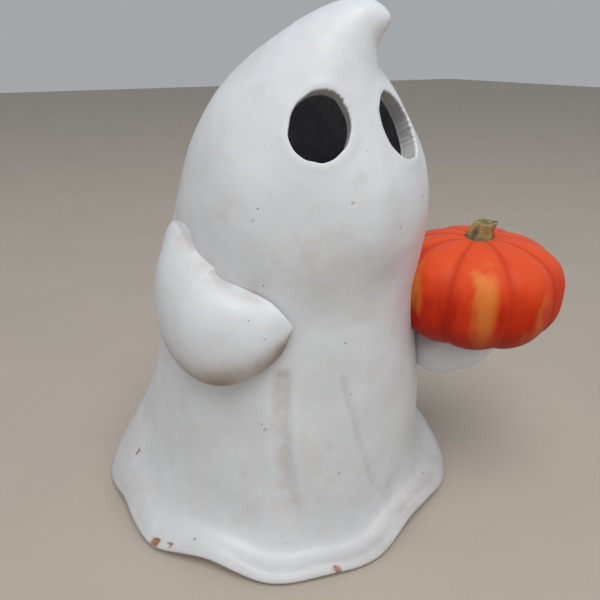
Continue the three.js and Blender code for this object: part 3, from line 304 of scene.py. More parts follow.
def spline(rows, share):
    """Uniform cubic B-spline over rows of numbers, straight on at both ends."""
    rows = np.asarray(rows, float)
    padded = np.concatenate([[2 * rows[0] - rows[1]], rows, [2 * rows[-1] - rows[-2]]])
    place = np.clip(np.asarray(share, float), 0, 1) * (len(rows) - 1)
    start = np.minimum(place.astype(int), len(rows) - 2)
    u = (place - start)[..., None]
    a, b, c, d = (padded[start + k] for k in range(4))
    return ((1 - u) ** 3 * a + (3 * u ** 3 - 6 * u ** 2 + 4) * b
            + (1 + 3 * u + 3 * u ** 2 - 3 * u ** 3) * c + u ** 3 * d) / 6


def curve_step(rows, share):
    """What the rows' numbers change by over a short stretch round each share."""
    return (spline(rows, np.minimum(share + SPINE_STEP, 1))
            - spline(rows, np.maximum(share - SPINE_STEP, 0)))


def smooth(value, low, high):
    u = np.clip((value - low) / (high - low), 0, 1)
    return u * u * (3 - 2 * u)


def bell(distance, width):
    return np.exp(-(distance / width) ** 2)


def turn(angle):
    return (angle + 180) % 360 - 180


def unit(vectors):
    return vectors / np.maximum(np.linalg.norm(vectors, axis=-1, keepdims=True), 1e-9)


def rounding(share, start, end):
    return np.sqrt(np.clip(1 - (np.maximum(share - start, 0) / (end - start)) ** 2, 0, 1))


def waves(points, wavelength, seed):
    """Smooth seeded unevenness, about -1 to 1."""
    draw = np.random.default_rng(seed)
    ways = draw.normal(size=(WAVE_COUNT, 3))
    ways /= np.linalg.norm(ways, axis=1)[:, None]
    phases = draw.uniform(0, 2 * pi, WAVE_COUNT)
    total = sum(np.sin(2 * pi / wavelength * (points @ way) + phase)
                for way, phase in zip(ways, phases))
    return total / np.sqrt(2 * WAVE_COUNT)


def around(radius, azimuth, height):
    """Points at this distance from the vertical axis; azimuth 0 is the front."""
    turned = np.radians(azimuth)
    return np.stack([radius * np.sin(turned), -radius * np.cos(turned), height], -1)


# Surfaces of the body: share along the spine and azimuth from the front, to a point.

def lobe(azimuth):
    return sum(proud * bell(turn(azimuth - where), width) for where, width, proud in LOBES)


def lift(azimuth):
    return HEM_LIFT * (1 - np.minimum(lobe(azimuth) / LOBE_FULL, 1)) + HEM_LEAST_LIFT


def groove_depth(groove, azimuth, height):
    (top, high), (foot, low), bow, width, _ = groove
    share = (high - height) / (high - low)
    line = top + (foot - top) * share + 4 * bow * share * (1 - share)
    ends = smooth(share, *GROOVE_TOP) * (1 - smooth(share, *GROOVE_FOOT))
    return ends * np.exp(-np.abs(turn(azimuth - line) / width) ** GROOVE_SQUARE)


def relief(azimuth, height):
    tall = lobe(azimuth)
    hem = (tall - LOBE_MEAN) * (1 - smooth(height, HEM_BOTTOM, HEM_TOP))
    fold = (tall - FOLD["level"]) * FOLD["share"]
    fold = fold * (smooth(height, 0, FOLD["full"]) - smooth(height, FOLD["fade"], FOLD["to"]))
    nose = NOSE["proud"] * bell(turn(azimuth), NOSE["spread"])
    nose = nose * (smooth(height, NOSE["start"], NOSE["full"])
                   - smooth(height, NOSE["fade"], NOSE["to"]))
    cheeks = CHEEKS["proud"] * bell(turn(azimuth), CHEEKS["spread"])
    cheeks = cheeks * bell(height - CHEEKS["height"], CHEEKS["band"])
    grooves = sum(g[4] * groove_depth(g, azimuth, height) for g in GROOVES)
    return hem + fold + nose + cheeks - grooves


def section_axes(share):
    """Centre, tangent, left and front of the section at each share of the spine."""
    lean, height, _, aside = np.moveaxis(spline(BODY, share), -1, 0)
    step = curve_step(BODY, share)
    along = unit(np.stack([step[..., 3], -step[..., 0], step[..., 1]], -1))
    left = unit(np.array([1.0, 0, 0]) - along[..., :1] * along)
    return np.stack([aside, -lean, height], -1), along, left, np.cross(left, along)


def section_point(share, azimuth, reach_from):
    """Point of the section square to the spine; reach_from gives its reach by radius and height."""
    share, turned = np.broadcast_arrays(np.asarray(share, float), np.radians(azimuth))
    centre, _, left, front = section_axes(share)
    _, height, radius, _ = np.moveaxis(spline(BODY, share), -1, 0)
    reach = reach_from(radius, height)[..., None]
    return centre + reach * (np.sin(turned)[..., None] * left + np.cos(turned)[..., None] * front)


def outer(share, azimuth):
    def reach(radius, height):
        shaped = radius + relief(azimuth, height) * (1 - smooth(share, CROWN_PLAIN, 1))
        return shaped * rounding(share, CROWN_ROUND, 1)
    point = section_point(share, azimuth, reach)
    point[..., 2] += lift(azimuth) * (1 - smooth(point[..., 2], 0, HEM_LIFT_TOP))
    return point


def hollow(share, azimuth):
    def reach(radius, _):
        return np.minimum(HOLLOW_RADIUS, radius - WALL) * rounding(share, HOLLOW_ROUND, HOLLOW_TOP)
    return section_point(share, azimuth, reach)


def normal_of(surface, share, azimuth):
    up, aside = SKIN_STEP
    along = (surface(np.minimum(share + up, 1), azimuth)
             - surface(np.maximum(share - up, 0), azimuth))
    across = surface(share, azimuth + aside) - surface(share, azimuth - aside)
    return unit(np.cross(across, along))


def share_at(height):
    """Share of the spine at a height."""
    shares = np.linspace(0, 1, CURVE_POINTS)
    return np.interp(height, spline(BODY, shares)[:, 1], shares)


class Eye:
    """One eye hole: an oval cut straight through the wall."""

    def __init__(self, azimuth, level, half, tilt):
        self.side = 1 if azimuth > 0 else -1
        self.half = half
        self.start = (float(share_at(level)), azimuth)
        self.centre = outer(np.array(self.start[0]), np.array(self.start[1]))
        aside = Matrix.Rotation(self.side * radians(EYE_TURN), 3, "Z")
        upward = Matrix.Rotation(radians(90 - EYE_RISE), 3, "X")
        self.axes = np.array(aside @ upward @ Matrix.Rotation(self.side * radians(tilt), 3, "Z"))

    def local(self, points):
        return (points - self.centre) @ self.axes

    def world(self, local):
        return local @ self.axes.T + self.centre

    def crumbled(self, angle):
        """1 in the middle of the stretch of rim where the clay broke away, 0 outside it."""
        middle, half = CRUMBLED[self.side]
        return bell(turn(np.degrees(angle) - middle), half)

    def uneven(self, angle):
        """Reach of the hand-cut outline as a share of the oval's, and what the crumbs add."""
        draw = np.random.default_rng(SEED + self.side)
        parts = [(k, draw.uniform(0, 2 * pi)) for k in EYE_WAVES]
        crumbs = [(k, draw.uniform(0, 2 * pi)) for k in CRUMB_WAVES]
        even = 1 + EYE_ROUGH * sum(np.sin(k * angle + phase) / k ** EYE_WAVE_FADE
                                   for k, phase in parts)
        broken = sum(np.sin(k * angle + phase) for k, phase in crumbs)
        return even, CRUMB_SIZE * self.crumbled(angle) * broken

    def outline(self, angle, out=0.0):
        wide, tall = (half * sum(self.uneven(angle)) + out for half in self.half)
        return np.stack([wide * np.cos(angle), tall * np.sin(angle)], -1)

    def angle(self, points):
        at = self.local(points)
        return np.arctan2(at[..., 1] / self.half[1], at[..., 0] / self.half[0])

    def beyond(self, points):
        """How far a point lies outside the outline, in millimetres; far from the eye it is large."""
        at = self.local(points)
        angle = self.angle(points)
        line = self.outline(angle)
        gap = np.hypot(at[..., 0], at[..., 1]) - np.hypot(line[..., 0], line[..., 1])
        return np.where(at[..., 2] < -WALL_REACH * WALL, FAR, gap)

    def params(self, surface, target):
        """Share and azimuth at which a surface has these local coordinates, by Newton's steps."""
        share = np.full(len(target), self.start[0])
        azimuth = np.full(len(target), self.start[1])
        up, aside = SEARCH_STEP
        for _ in range(SEARCH_ROUNDS):
            here = self.local(surface(share, azimuth))[:, :2]
            by_share = (self.local(surface(share + up, azimuth))[:, :2] - here) / up
            by_azimuth = (self.local(surface(share, azimuth + aside))[:, :2] - here) / aside
            miss = target - here
            det = by_share[:, 0] * by_azimuth[:, 1] - by_share[:, 1] * by_azimuth[:, 0]
            share = share + (miss[:, 0] * by_azimuth[:, 1] - miss[:, 1] * by_azimuth[:, 0]) / det
            azimuth = azimuth + (by_share[:, 0] * miss[:, 1] - by_share[:, 1] * miss[:, 0]) / det
        return share, azimuth


EYES = [Eye(*hole) for hole in EYE_HOLES]


def marks_at(share, azimuth, level):
    """What places a flaw on the skin: azimuth and height of the section, and its radius."""
    _, height, radius, _ = np.moveaxis(spline(BODY, share), -1, 0)
    height = level + (height - level) * smooth(height, *MARK_LEVELS)
    return np.stack(np.broadcast_arrays(azimuth, height, radius), -1)


def spot(marks, flaw, points):
    """1 in the middle of a flaw, 0 outside it, with a ragged edge."""
    where, level, wide, tall = flaw[:4]
    arc = radians(1) * turn(marks[..., 0] - where) * marks[..., 2]
    ragged = SPOT_RAGGED * waves(points, SPOT_RAGGED_LENGTH, SEED + 5)
    soft = SPOT_EDGE if max(wide, tall) < LARGE_SPOT else LARGE_SPOT_EDGE
    return 1 - smooth(np.hypot(arc / wide, (marks[..., 1] - level) / tall) + ragged, soft, 1.0)


def skin(share, azimuth):
    """The finished outside: the plain surface with its waves, rims and chips."""
    plain = outer(share, azimuth)
    normal = normal_of(outer, share, azimuth)
    marks = marks_at(share, azimuth, plain[..., 2])
    depth = sum(size * waves(plain, length, SEED + i) for i, (length, size) in enumerate(WAVES))
    for eye in EYES:
        gap = eye.beyond(plain)
        depth = depth + RIM_PROUD * bell(gap - RIM_SPREAD, RIM_SPREAD)
        below = np.clip(1 - gap / EYE_EDGE, 0, 1)
        depth = depth - EYE_EDGE * (1 - np.sqrt(1 - below ** 2))
    for chip in CHIPS:
        depth = depth - chip[4] * spot(marks, chip, plain)
    for at in PINHOLES:
        depth = depth - PINHOLE_DEPTH * spot(marks, (*at, PINHOLE_SIZE, PINHOLE_SIZE), plain)
    for at in PITS:
        depth = depth - PIT_DEPTH * spot(marks, (*at, PIT_SIZE, PIT_SIZE), plain)
    return plain + normal * depth[..., None]


# Meshes.

def added(name, data):
    """A new object of the scene with this mesh, lamp or camera."""
    new = bpy.data.objects.new(name, data)
    bpy.context.scene.collection.objects.link(new)
    return new


def make(name, points, faces, material, stands_for, masks, body="figure"):
    """A shaded piece from points in millimetres round the foot's axis."""
    mesh = bpy.data.meshes.new(name)
    mesh.from_pydata((np.asarray(points) * MM + AXIS).tolist(), [], [list(map(int, f)) for f in faces])
    mesh.validate()
    mesh.shade_smooth()
    for mask, values in masks.items():
        attribute = mesh.attributes.new(mask, "FLOAT", "POINT")
        attribute.data.foreach_set("value", np.asarray(values, np.float32))
    piece = added(name, mesh)
    mesh.materials.append(material)
    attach(piece, body)
    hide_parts(*stands_for)


def grid_faces(rows, columns, first=0):
    """Faces between rings of points, from the first ring's first point on."""
    across = np.arange(columns)
    low = first + np.arange(rows - 1)[:, None] * columns
    a, b = low + across, low + (across + 1) % columns
    return np.stack([a, b, b + columns, a + columns], -1).reshape(-1, 4)


def tube_faces(rows, columns):
    """Faces of a closed tube of rings, with a fan at each end about the last two points."""
    faces = grid_faces(rows, columns).tolist()
    last = (rows - 1) * columns
    low, high = rows * columns, rows * columns + 1
    for j in range(columns):
        k = (j + 1) % columns
        faces.append([low, k, j])
        faces.append([high, last + j, last + k])
    return faces


def capped(rings):
    """The points of the rings, and then the middles of the first and the last."""
    rings = np.asarray(rings)
    return np.concatenate([rings.reshape(-1, 3), [rings[0].mean(0)], [rings[-1].mean(0)]])


def eye_patch(eye, window, points, surface, gaps, finish):
    """Rings of points between the edge of a window in the grid and the eye's outline.

    window has the shares, azimuths and numbers of the grid's points along that edge.
    """
    shares, azimuths, edge = window
    angle = eye.angle(points[edge])
    rings = []
    for gap in gaps:
        share, azimuth = eye.params(surface, eye.outline(angle, gap))
        rings.append((share, azimuth))
    first_share, first_azimuth = rings[-1]
    for step in np.linspace(0, 1, BLEND_RINGS + 2)[1:-1] ** BLEND_EASE:
        rings.append((first_share + (shares - first_share) * step,
                      first_azimuth + (azimuths - first_azimuth) * step))
    points = np.array([finish(share, azimuth) for share, azimuth in rings])
    marks = [marks_at(share, azimuth, ring[:, 2])
             for (share, azimuth), ring in zip(rings, points)]
    return points, np.array(marks)


def wall_depth(eye, points):
    """How far each rim point lies from the hollow, straight inwards along the eye's axis."""
    shares = np.linspace(WALL_START, HOLLOW_TOP - WALL_MARGIN, WALL_SECTIONS)
    centres, along, _, _ = section_axes(shares)
    reach = (spline(BODY, shares)[:, 2] - WALL) * rounding(shares, HOLLOW_ROUND, HOLLOW_TOP)
    inwards = -eye.axes[:, 2]
    depth = np.full(len(points), WALL_REACH * WALL)
    row = np.arange(len(points))
    for step in np.arange(WALL_REACH * WALL, 0, -WALL_STEP):
        here = points + inwards * step
        away = here[:, None] - centres[None]
        level = (away * along[None]).sum(-1)
        nearest = np.abs(level).argmin(1)
        off = away[row, nearest] - level[row, nearest, None] * along[nearest]
        inside = np.linalg.norm(off, axis=1) < reach[nearest]
        inside = inside & (np.abs(level[row, nearest]) < SECTION_GAP)
        depth = np.where(inside, step, depth)
    return np.minimum(depth, WALL_MOST * WALL)


def ghost_points():
    """All of the figure's skin: outside, hem, foot, hollow and the two eye holes.

    Also its faces, how far each point lies through the wall, and where it lies for flaws.
    """
    azimuths = np.linspace(-180, 180, AZIMUTHS, endpoint=False) + 180 / AZIMUTHS
    body_shares = np.linspace(SKIRT_START, CROWN_ROUND, SHARES)
    crown = CROWN_ROUND + (1 - CROWN_ROUND) * np.sin(np.radians(np.linspace(0, CROWN_END, CROWN_ROWS)))
    shares = np.concatenate([body_shares, crown[1:]])
    share_grid, azimuth_grid = np.meshgrid(shares, azimuths, indexing="ij")
    outside = skin(share_grid, azimuth_grid)

    # The hem's edge turns under to the flat foot, and the foot to the pocket and the hollow.
    rim = BODY[0][2] + relief(azimuths, 0)
    rise = lift(azimuths)
    turned = np.radians(azimuths)
    edge_points = np.stack([rim * np.sin(turned), rim * np.cos(turned), rise], -1)
    drift = waves(edge_points, HEM_DRIFT_LENGTH, SEED)
    under = []
    for angle in np.linspace(0, 90, HEM_ROWS):
        inset = HEM_UNDERCUT * (1 - cos(radians(angle)))
        under.append((rim - inset + HEM_DRIFT * drift, rise + HEM_EDGE * (1 - sin(radians(angle)))))
    for step in np.linspace(0, 1, HEM_ROWS)[1:]:
        inset = HEM_UNDERCUT + (FOOT_LIP - HEM_UNDERCUT) * step
        under.append((rim - inset, rise * (1 - step) ** HEM_FOOT_CURVE))
    for radius, level in ((POCKET_RADIUS, 0), (POCKET_RADIUS, POCKET_TOP), (HOLLOW_RADIUS, POCKET_TOP)):
        under.append((radius + 0 * rim, level + 0 * rim))
    below = np.array([around(radius, azimuths, level) for radius, level in under])[::-1]

    first_angle, top_rings = HOLLOW_CROWN
    top_angles = np.radians(np.linspace(first_angle, CROWN_END, top_rings))
    inner_shares = np.concatenate([
        np.linspace(HOLLOW_START, HOLLOW_ROUND, HOLLOW_ROWS),
        HOLLOW_ROUND + (HOLLOW_TOP - HOLLOW_ROUND) * np.sin(top_angles),
    ])[::-1]
    inner_grid, inner_azimuth = np.meshgrid(inner_shares, azimuths, indexing="ij")
    inside = hollow(inner_grid, inner_azimuth)

    grid = np.concatenate([inside, below, outside])
    rows = len(grid)
    points = grid.reshape(-1, 3)
    faces = grid_faces(rows, AZIMUTHS).reshape(rows - 1, AZIMUTHS, 4)
    keep = np.ones((rows - 1, AZIMUTHS), bool)
    extra_points, extra_faces, extra_inside, extra_marks = [], [], [], []
    count = len(points)
    first_row = len(inside) + len(below)

    for eye in EYES:
        gap = eye.beyond(outside)
        near = np.argwhere((gap < WINDOW_MARGIN) & (eye.side * azimuth_grid > 0))
        (row0, column0), (row1, column1) = near.min(0), near.max(0)
        keep[first_row + row0:first_row + row1, column0:column1] = False
        columns = np.arange(column0, column1 + 1)
        levels = np.arange(row0, row1 + 1)
        loop = [(row0, c) for c in columns[:-1]] + [(r, column1) for r in levels[:-1]]
        loop += [(row1, c) for c in columns[:0:-1]] + [(r, column0) for r in levels[:0:-1]]
        loop = np.array(loop)
        edge = (first_row + loop[:, 0]) * AZIMUTHS + loop[:, 1]
        window = (shares[loop[:, 0]], azimuths[loop[:, 1]], edge)
        rounds = EYE_EDGE * (1 - np.sin(np.radians(np.linspace(90, 0, EDGE_RINGS))))
        gaps = np.concatenate([rounds, EYE_EDGE + np.array(RIM_GAPS)])
        rings, ring_marks = eye_patch(eye, window, points, outer, gaps, skin)
        rim_points = rings[0]
        depth = wall_depth(eye, rim_points)
        spread = range(-DEPTH_SPREAD, DEPTH_SPREAD + 1)
        depth = np.mean([np.roll(depth, k) for k in spread], axis=0)
        steps = np.linspace(1, 0, TUNNEL_RINGS, endpoint=False)
        rough = TUNNEL_ROUGH * waves(rim_points, TUNNEL_ROUGH_LENGTH, SEED + 2)
        outline = eye.local(rim_points)
        even, broken = eye.uneven(eye.angle(rim_points))
        tunnel = []
        for step in steps:
            local = outline.copy()
            healed = 1 - broken / (even + broken) * min(CRUMB_FADE * step, 1)
            wider = (rough * sin(pi * step) + TUNNEL_FLARE * step) / eye.half[0]
            local[:, :2] *= (healed * (1 + wider))[:, None]
            local[:, 2] -= depth * step
            tunnel.append(eye.world(local))
        strip = np.concatenate([np.array(tunnel), rings])
        sides = len(loop)
        extra_points.append(strip.reshape(-1, 3))
        extra_faces.append(grid_faces(len(strip), sides, count)[:, ::-1])
        last = count + (len(strip) - 1) * sides
        k = np.arange(sides)
        n = (k + 1) % sides
        extra_faces.append(np.stack([edge[k], edge[n], last + n, last + k], -1))
        extra_inside.append(np.repeat(np.concatenate([steps, np.zeros(len(rings))]), sides))
        extra_marks += [np.zeros((len(tunnel) * sides, 3)), ring_marks.reshape(-1, 3)]
        count += len(strip) * sides
        hidden = eye.beyond(inside) < HOLLOW_MARGIN
        touched = (hidden[:-1] | hidden[1:]) | np.roll(hidden[:-1] | hidden[1:], -1, 1)
        keep[:len(inside) - 1][touched] = False
    points = np.concatenate([points, *extra_points])
    faces = np.concatenate([faces[keep], *extra_faces]).tolist()
    tip = len(points)
    top = (rows - 1) * AZIMUTHS
    faces += [[top + j, top + (j + 1) % AZIMUTHS, tip] for j in range(AZIMUTHS)]
    faces += [[(j + 1) % AZIMUTHS, j, tip + 1] for j in range(AZIMUTHS)]
    points = np.concatenate([points, [grid[-1].mean(0)], [grid[0].mean(0)]])
    inner, painted = inside.size // 3, (below.size + outside.size) // 3
    raw = np.concatenate([np.ones(inner), np.zeros(painted), *extra_inside, [0, 1]])
    low_marks = np.stack(np.broadcast_arrays(azimuths, below[..., 2], BODY[0][2]), -1)
    high_marks = marks_at(share_grid, azimuth_grid, outside[..., 2])
    marks = np.concatenate([np.zeros((inner, 3)), low_marks.reshape(-1, 3),
                            high_marks.reshape(-1, 3), *extra_marks, np.zeros((2, 3))])
    return points, faces, raw, marks


# Arms, pumpkin and stem.

def beside(azimuth, height, out):
    """A point beside the body, level with its axis at that height."""
    lean, _, radius, _ = spline(BODY, share_at(height))
    reach = radius + out
    return [reach * sin(radians(azimuth)), -(lean + reach * cos(radians(azimuth))), height]


def above_body(points):
    """Direction away from the spine and height over the body's skin, for points beside it."""
    shares = np.linspace(*ARM_SHARES, ARM_SECTIONS)
    centres, along, left, front = section_axes(shares)
    _, height, radius, _ = spline(BODY, shares).T
    row = np.abs(points @ along.T - (centres * along).sum(1)).argmin(1)
    away = points - centres[row]
    reach = np.linalg.norm(away, axis=1)
    azimuth = np.degrees(np.arctan2((away * left[row]).sum(1), (away * front[row]).sum(1)))
    shaped = radius[row] + relief(azimuth, height[row])
    return away / reach[:, None], reach - shaped


def soft_max(a, b, width):
    """The larger of two, with a soft change from one to the other."""
    overlap = np.maximum(width - np.abs(a - b), 0) / width
    return np.maximum(a, b) + overlap ** 2 * width / 4


def sleeve(rows, count, sides, spread):
    """Rings of an arm along rows of [x, y, z, half height, half depth].

    Also each point's share and angle. spread widens the side towards the body, so that the clay
    is drawn out over it.
    """
    shares = 0.5 - 0.5 * np.cos(pi * np.linspace(*ARM_ENDS, count))
    middle = spline(rows, shares)
    along = curve_step(rows, shares)[:, :3]
    along /= np.linalg.norm(along, axis=1)[:, None]
    spine = spline(BODY, np.linspace(0, 1, CURVE_POINTS))
    lean = np.interp(middle[:, 2], spine[:, 1], spine[:, 0])
    away = np.stack([middle[:, 0], middle[:, 1] + lean, 0 * shares], -1)
    away -= (away * along).sum(1)[:, None] * along
    away /= np.linalg.norm(away, axis=1)[:, None]
    up = np.cross(away, along)
    ends = rounding(shares, 1 - ARM_END_ROUND, 1) * rounding(1 - shares, 1 - ARM_END_ROUND, 1)
    angles = np.linspace(0, 2 * pi, sides, endpoint=False)
    towards = smooth(-np.cos(angles), *TOWARDS_BODY)
    rise = np.sin(angles) * (1 + spread(shares[:, None], angles) * towards)
    high = (middle[:, 3] * ends)[:, None, None] * rise[..., None] * up[:, None]
    deep = (middle[:, 4] * ends)[:, None, None] * np.cos(angles)[None, :, None] * away[:, None]
    return middle[:, None, :3] + high + deep, np.meshgrid(shares, angles, indexing="ij")


def draped(rings, blend, flat=np.ones(1)):
    """An arm's rings laid over the body: what would sink in stops just under its skin."""
    points = rings.reshape(-1, 3)
    rough = sum(size * waves(points, length, SEED + 9 + i)
                for i, (length, size) in enumerate(WAVES))
    away, over = above_body(points)
    sunk = np.full(len(points), -ARM_SINK)
    raised = soft_max(over * flat.reshape(-1) + rough, sunk, blend.reshape(-1))
    return points + away * (raised - over)[:, None]


def shoulder_spread(share, angle):
    upper = smooth(np.sin(angle), *UPPER_SIDE)
    return CLAY_SPREAD + upper * SHOULDER_SPREAD * smooth(share, *SHOULDER)


def right_spread(share, angle):
    upper = smooth(np.sin(angle), *UPPER_SIDE)
    return shoulder_spread(share, angle) + upper * HAND_SPREAD * smooth(share, *HAND)


def sleeve_blend(share, angle):
    lower = smooth(-np.sin(angle), *LOWER_SIDE)
    blend = CREASE_BLEND + (UNDER_BLEND - CREASE_BLEND) * lower
    return blend + SHOULDER_BLEND * smooth(share, *SHOULDER_JOINT)


def right_sleeve_points():
    rows = [[*beside(*row[:3]), *row[3:]] for row in RIGHT_ARM]
    rings, (share, angle) = sleeve(rows, ARM_ROWS, ARM_SIDES, right_spread)
    blend = sleeve_blend(share, angle) + HAND_BLEND * smooth(share, *HAND_JOINT)
    return draped(rings, blend, 1 - HAND_FLAT * smooth(share, *HAND_TIP)), rings.shape[:2]


def pumpkin_centre():
    return beside(PUMPKIN_AZIMUTH, PUMPKIN_LEVEL, PUMPKIN_RADIUS - PUMPKIN_NEST)


def left_sleeve_points():
    x, y, z = pumpkin_centre()
    hand = [[x + out, y + front, z - PUMPKIN_HALF_HEIGHT - below, high, deep]
            for out, front, below, high, deep in LEFT_HAND]
    rows = [[*beside(*row[:3]), *row[3:]] for row in LEFT_ARM] + hand
    rings, (share, angle) = sleeve(rows, ARM_ROWS, ARM_SIDES, shoulder_spread)
    return draped(rings, sleeve_blend(share, angle)), rings.shape[:2]


def pumpkin_points(rows=110, columns=288):
    across, upward = PUMPKIN_FULLNESS
    azimuths = np.linspace(-180, 180, columns, endpoint=False)
    share, azimuth = np.meshgrid(np.linspace(*PUMPKIN_ENDS, rows), azimuths, indexing="ij")
    up, wide = -np.cos(pi * share), np.sin(pi * share)
    ridge = np.abs(np.sin(np.radians((azimuth + RIB_START) * PUMPKIN_RIBS / 2))) ** RIB_FULLNESS
    ribbed = 1 - RIB_DEPTH * (1 - ridge) * np.sqrt(wide)
    radius = PUMPKIN_RADIUS * wide ** across * ribbed
    dimple = DIMPLE_DEPTH * bell(radius, DIMPLE_RADIUS)
    height = np.sign(up) * (PUMPKIN_HALF_HEIGHT * np.abs(up) ** upward - dimple) * ribbed
    points = around(radius, azimuth, height)
    uneven = np.ones(radius.shape)
    for i, (length, size) in enumerate((PUMPKIN_SWELL, PUMPKIN_DENT)):
        uneven += size * waves(points, length, SEED + 20 + i)
    return points * uneven[..., None] + np.array(pumpkin_centre()), ridge, up


def stem_points(rows=28, columns=60):
    foot = PUMPKIN_HALF_HEIGHT - DIMPLE_DEPTH - STEM_SINK
    azimuths = np.linspace(0, 360, columns, endpoint=False)
    mean, depth = STEM_RIB
    ribs = mean + depth * np.cos(np.radians(azimuths * STEM_RIBS))
    rings = []
    for share in np.linspace(0, 1, rows):
        reach = (STEM_RADIUS + (STEM_FLARE - STEM_RADIUS) * (1 - share) ** 3) * ribs
        lean = STEM_LEAN * share * share
        level = foot + (STEM_HEIGHT + STEM_SINK) * share
        rings.append(around(reach, azimuths, level + 0 * azimuths) + np.array([lean, -lean / 2, 0]))
    top = rings[-1]
    middle = top.mean(0)
    for inset, drop in STEM_CUT:
        ring = middle + (top - middle) * inset
        ring[:, 2] -= drop
        rings.append(ring)
    rings = np.array(rings)
    rough = waves(rings, STEM_ROUGH_LENGTH, SEED + 30)
    return rings + rough[..., None] * STEM_ROUGH + np.array(pumpkin_centre())


# Materials.

class Paint:
    """One procedural material; each method adds a node and returns its output."""

    def __init__(self, name, **settings):
        self.material = bpy.data.materials.new(name)
        self.material.use_nodes = True
        self.tree = self.material.node_tree
        self.surface = self.tree.nodes["Principled BSDF"]
        for socket, value in settings.items():
            self.set(self.surface, socket.replace("_", " "), value)

    def set(self, node, socket, value):
        target = node.inputs[socket]
        if isinstance(value, bpy.types.NodeSocket):
            self.tree.links.new(value, target)
        elif isinstance(value, (tuple, list)) and len(value) == 3 and target.type == "RGBA":
            target.default_value = (*value, 1)
        else:
            target.default_value = value

    def node(self, kind, output=0, inputs=None, **settings):
        node = self.tree.nodes.new("ShaderNode" + kind)
        for key, value in settings.items():
            setattr(node, key, value)
        for socket, value in (inputs or {}).items():
            self.set(node, socket, value)
        return node.outputs[output]

    def mask(self, name):
        return self.node("Attribute", "Fac", attribute_name=name)

    def noise(self, scale, detail=3.0, roughness=0.55, stretch=None):
        where = self.node("TexCoord", "Object")
        if stretch:
            where = self.node("Mapping", inputs={"Vector": where, "Scale": stretch})
        inputs = {"Vector": where, "Scale": scale, "Detail": detail, "Roughness": roughness}
        return self.node("TexNoise", "Fac", inputs)

    def between(self, value, low, high, to_low=0.0, to_high=1.0):
        """Soft step from to_low at the value low to to_high at the value high."""
        inputs = {"Value": value, "From Min": low, "From Max": high}
        inputs |= {"To Min": to_low, "To Max": to_high}
        return self.node("MapRange", inputs=inputs, interpolation_type="SMOOTHSTEP")

    def times(self, a, b):
        return self.node("Math", inputs={0: a, 1: b}, operation="MULTIPLY")

    def mix(self, share, a, b):
        node = self.tree.nodes.new("ShaderNodeMix")
        node.data_type = "RGBA"
        self.set(node, 0, share)
        self.set(node, 6, a)
        self.set(node, 7, b)
        return node.outputs[2]

    def bump(self, height, strength, distance, under=None):
        inputs = {"Height": height, "Strength": strength, "Distance": distance}
        if under is not None:
            inputs["Normal"] = under
        return self.node("Bump", inputs=inputs)

    def done(self, **settings):
        for socket, value in settings.items():
            self.set(self.surface, socket.replace("_", " "), value)
        return self.material


def white_paint():
    """Satin white with warm clouds, and by their masks dust and painted shade, stains and a painted
    shadow, chips and raw clay.
    """
    paint = Paint("white_paint")
    cloud = paint.between(paint.noise(38, 4), 0.35, 0.65)
    colour = paint.mix(cloud, *WHITE)
    warm = paint.between(paint.noise(90, 5), 0.56, 0.72, 0, 0.25)
    colour = paint.mix(warm, colour, WARM_WHITE)
    # Painted shade under the arms, and dust with painted shade low on the skirt, in dark brown.
    patchy = paint.between(paint.noise(70, 5, 0.65, (1, 1, 0.6)), 0.3, 0.7, 0.55, 1)
    colour = paint.mix(paint.times(paint.mask("dust_and_shade"), patchy), colour, SHADE_AND_DUST_BROWN)
    # Stains, and the painted shadow under the head, in beige.
    ragged = paint.between(paint.noise(130, 5, 0.6), 0.36, 0.6, 0.25, 1)
    stain_and_shade = paint.times(paint.mask("stain_and_shade"), ragged)
    colour = paint.mix(stain_and_shade, colour, BEIGE_STAIN_AND_SHADE)
    speck = paint.between(paint.noise(420, 1, 0.3), 0.795, 0.815, 0, 0.7)
    colour = paint.mix(speck, colour, SPECK)
    colour = paint.mix(paint.mask("chip"), colour, TERRACOTTA)
    clay = paint.mix(paint.between(paint.noise(140, 4), 0.4, 0.6), *RAW_CLAY)
    colour = paint.mix(paint.mask("raw"), colour, clay)
    fine = paint.bump(paint.noise(900, 2), 0.25, 0.0001)
    brushed = paint.bump(paint.noise(160, 3, 0.5, (1, 1, 0.35)), 0.35, 0.0003, fine)
    rough = paint.between(paint.noise(60, 3), 0.35, 0.65, 0.38, 0.5)
    return paint.done(Base_Color=colour, Roughness=rough, Normal=brushed)


def orange_paint():
    """Strokes of orange and gold over red, darker towards the foot."""
    paint = Paint("orange_paint")
    brush = paint.noise(95, 4, 0.6, (1, 1, 0.25))
    colour = paint.mix(paint.between(brush, 0.35, 0.65), *ORANGE)
    lit = paint.between(paint.mask("level"), -0.1, 0.75, 0, 0.8)
    colour = paint.mix(lit, colour, LIT_ORANGE)
    stroke = paint.between(paint.noise(48, 3, 0.55, (1, 1, 0.32)), 0.5, 0.6)
    ridge = paint.times(paint.between(paint.mask("ridge"), 0.6, 0.95), stroke)
    girdle = paint.between(paint.mask("level"), 0.97, 0.7)
    colour = paint.mix(paint.times(paint.times(ridge, girdle), 0.8), colour, GOLD)
    groove = paint.between(paint.mask("ridge"), 0.6, 0.05, 0, 0.45)
    colour = paint.mix(groove, colour, GROOVE_RED)
    foot = paint.between(paint.mask("level"), 0.25, -0.85, 0, 0.9)
    colour = paint.mix(foot, colour, FOOT_RED)
    strokes = paint.bump(paint.noise(150, 3, 0.5, (1, 1, 0.25)), 0.3, 0.0004)
    return paint.done(Base_Color=colour, Roughness=paint.between(brush, 0.3, 0.7, 0.38, 0.5),
                      Specular_IOR_Level=0.12, Normal=strokes)


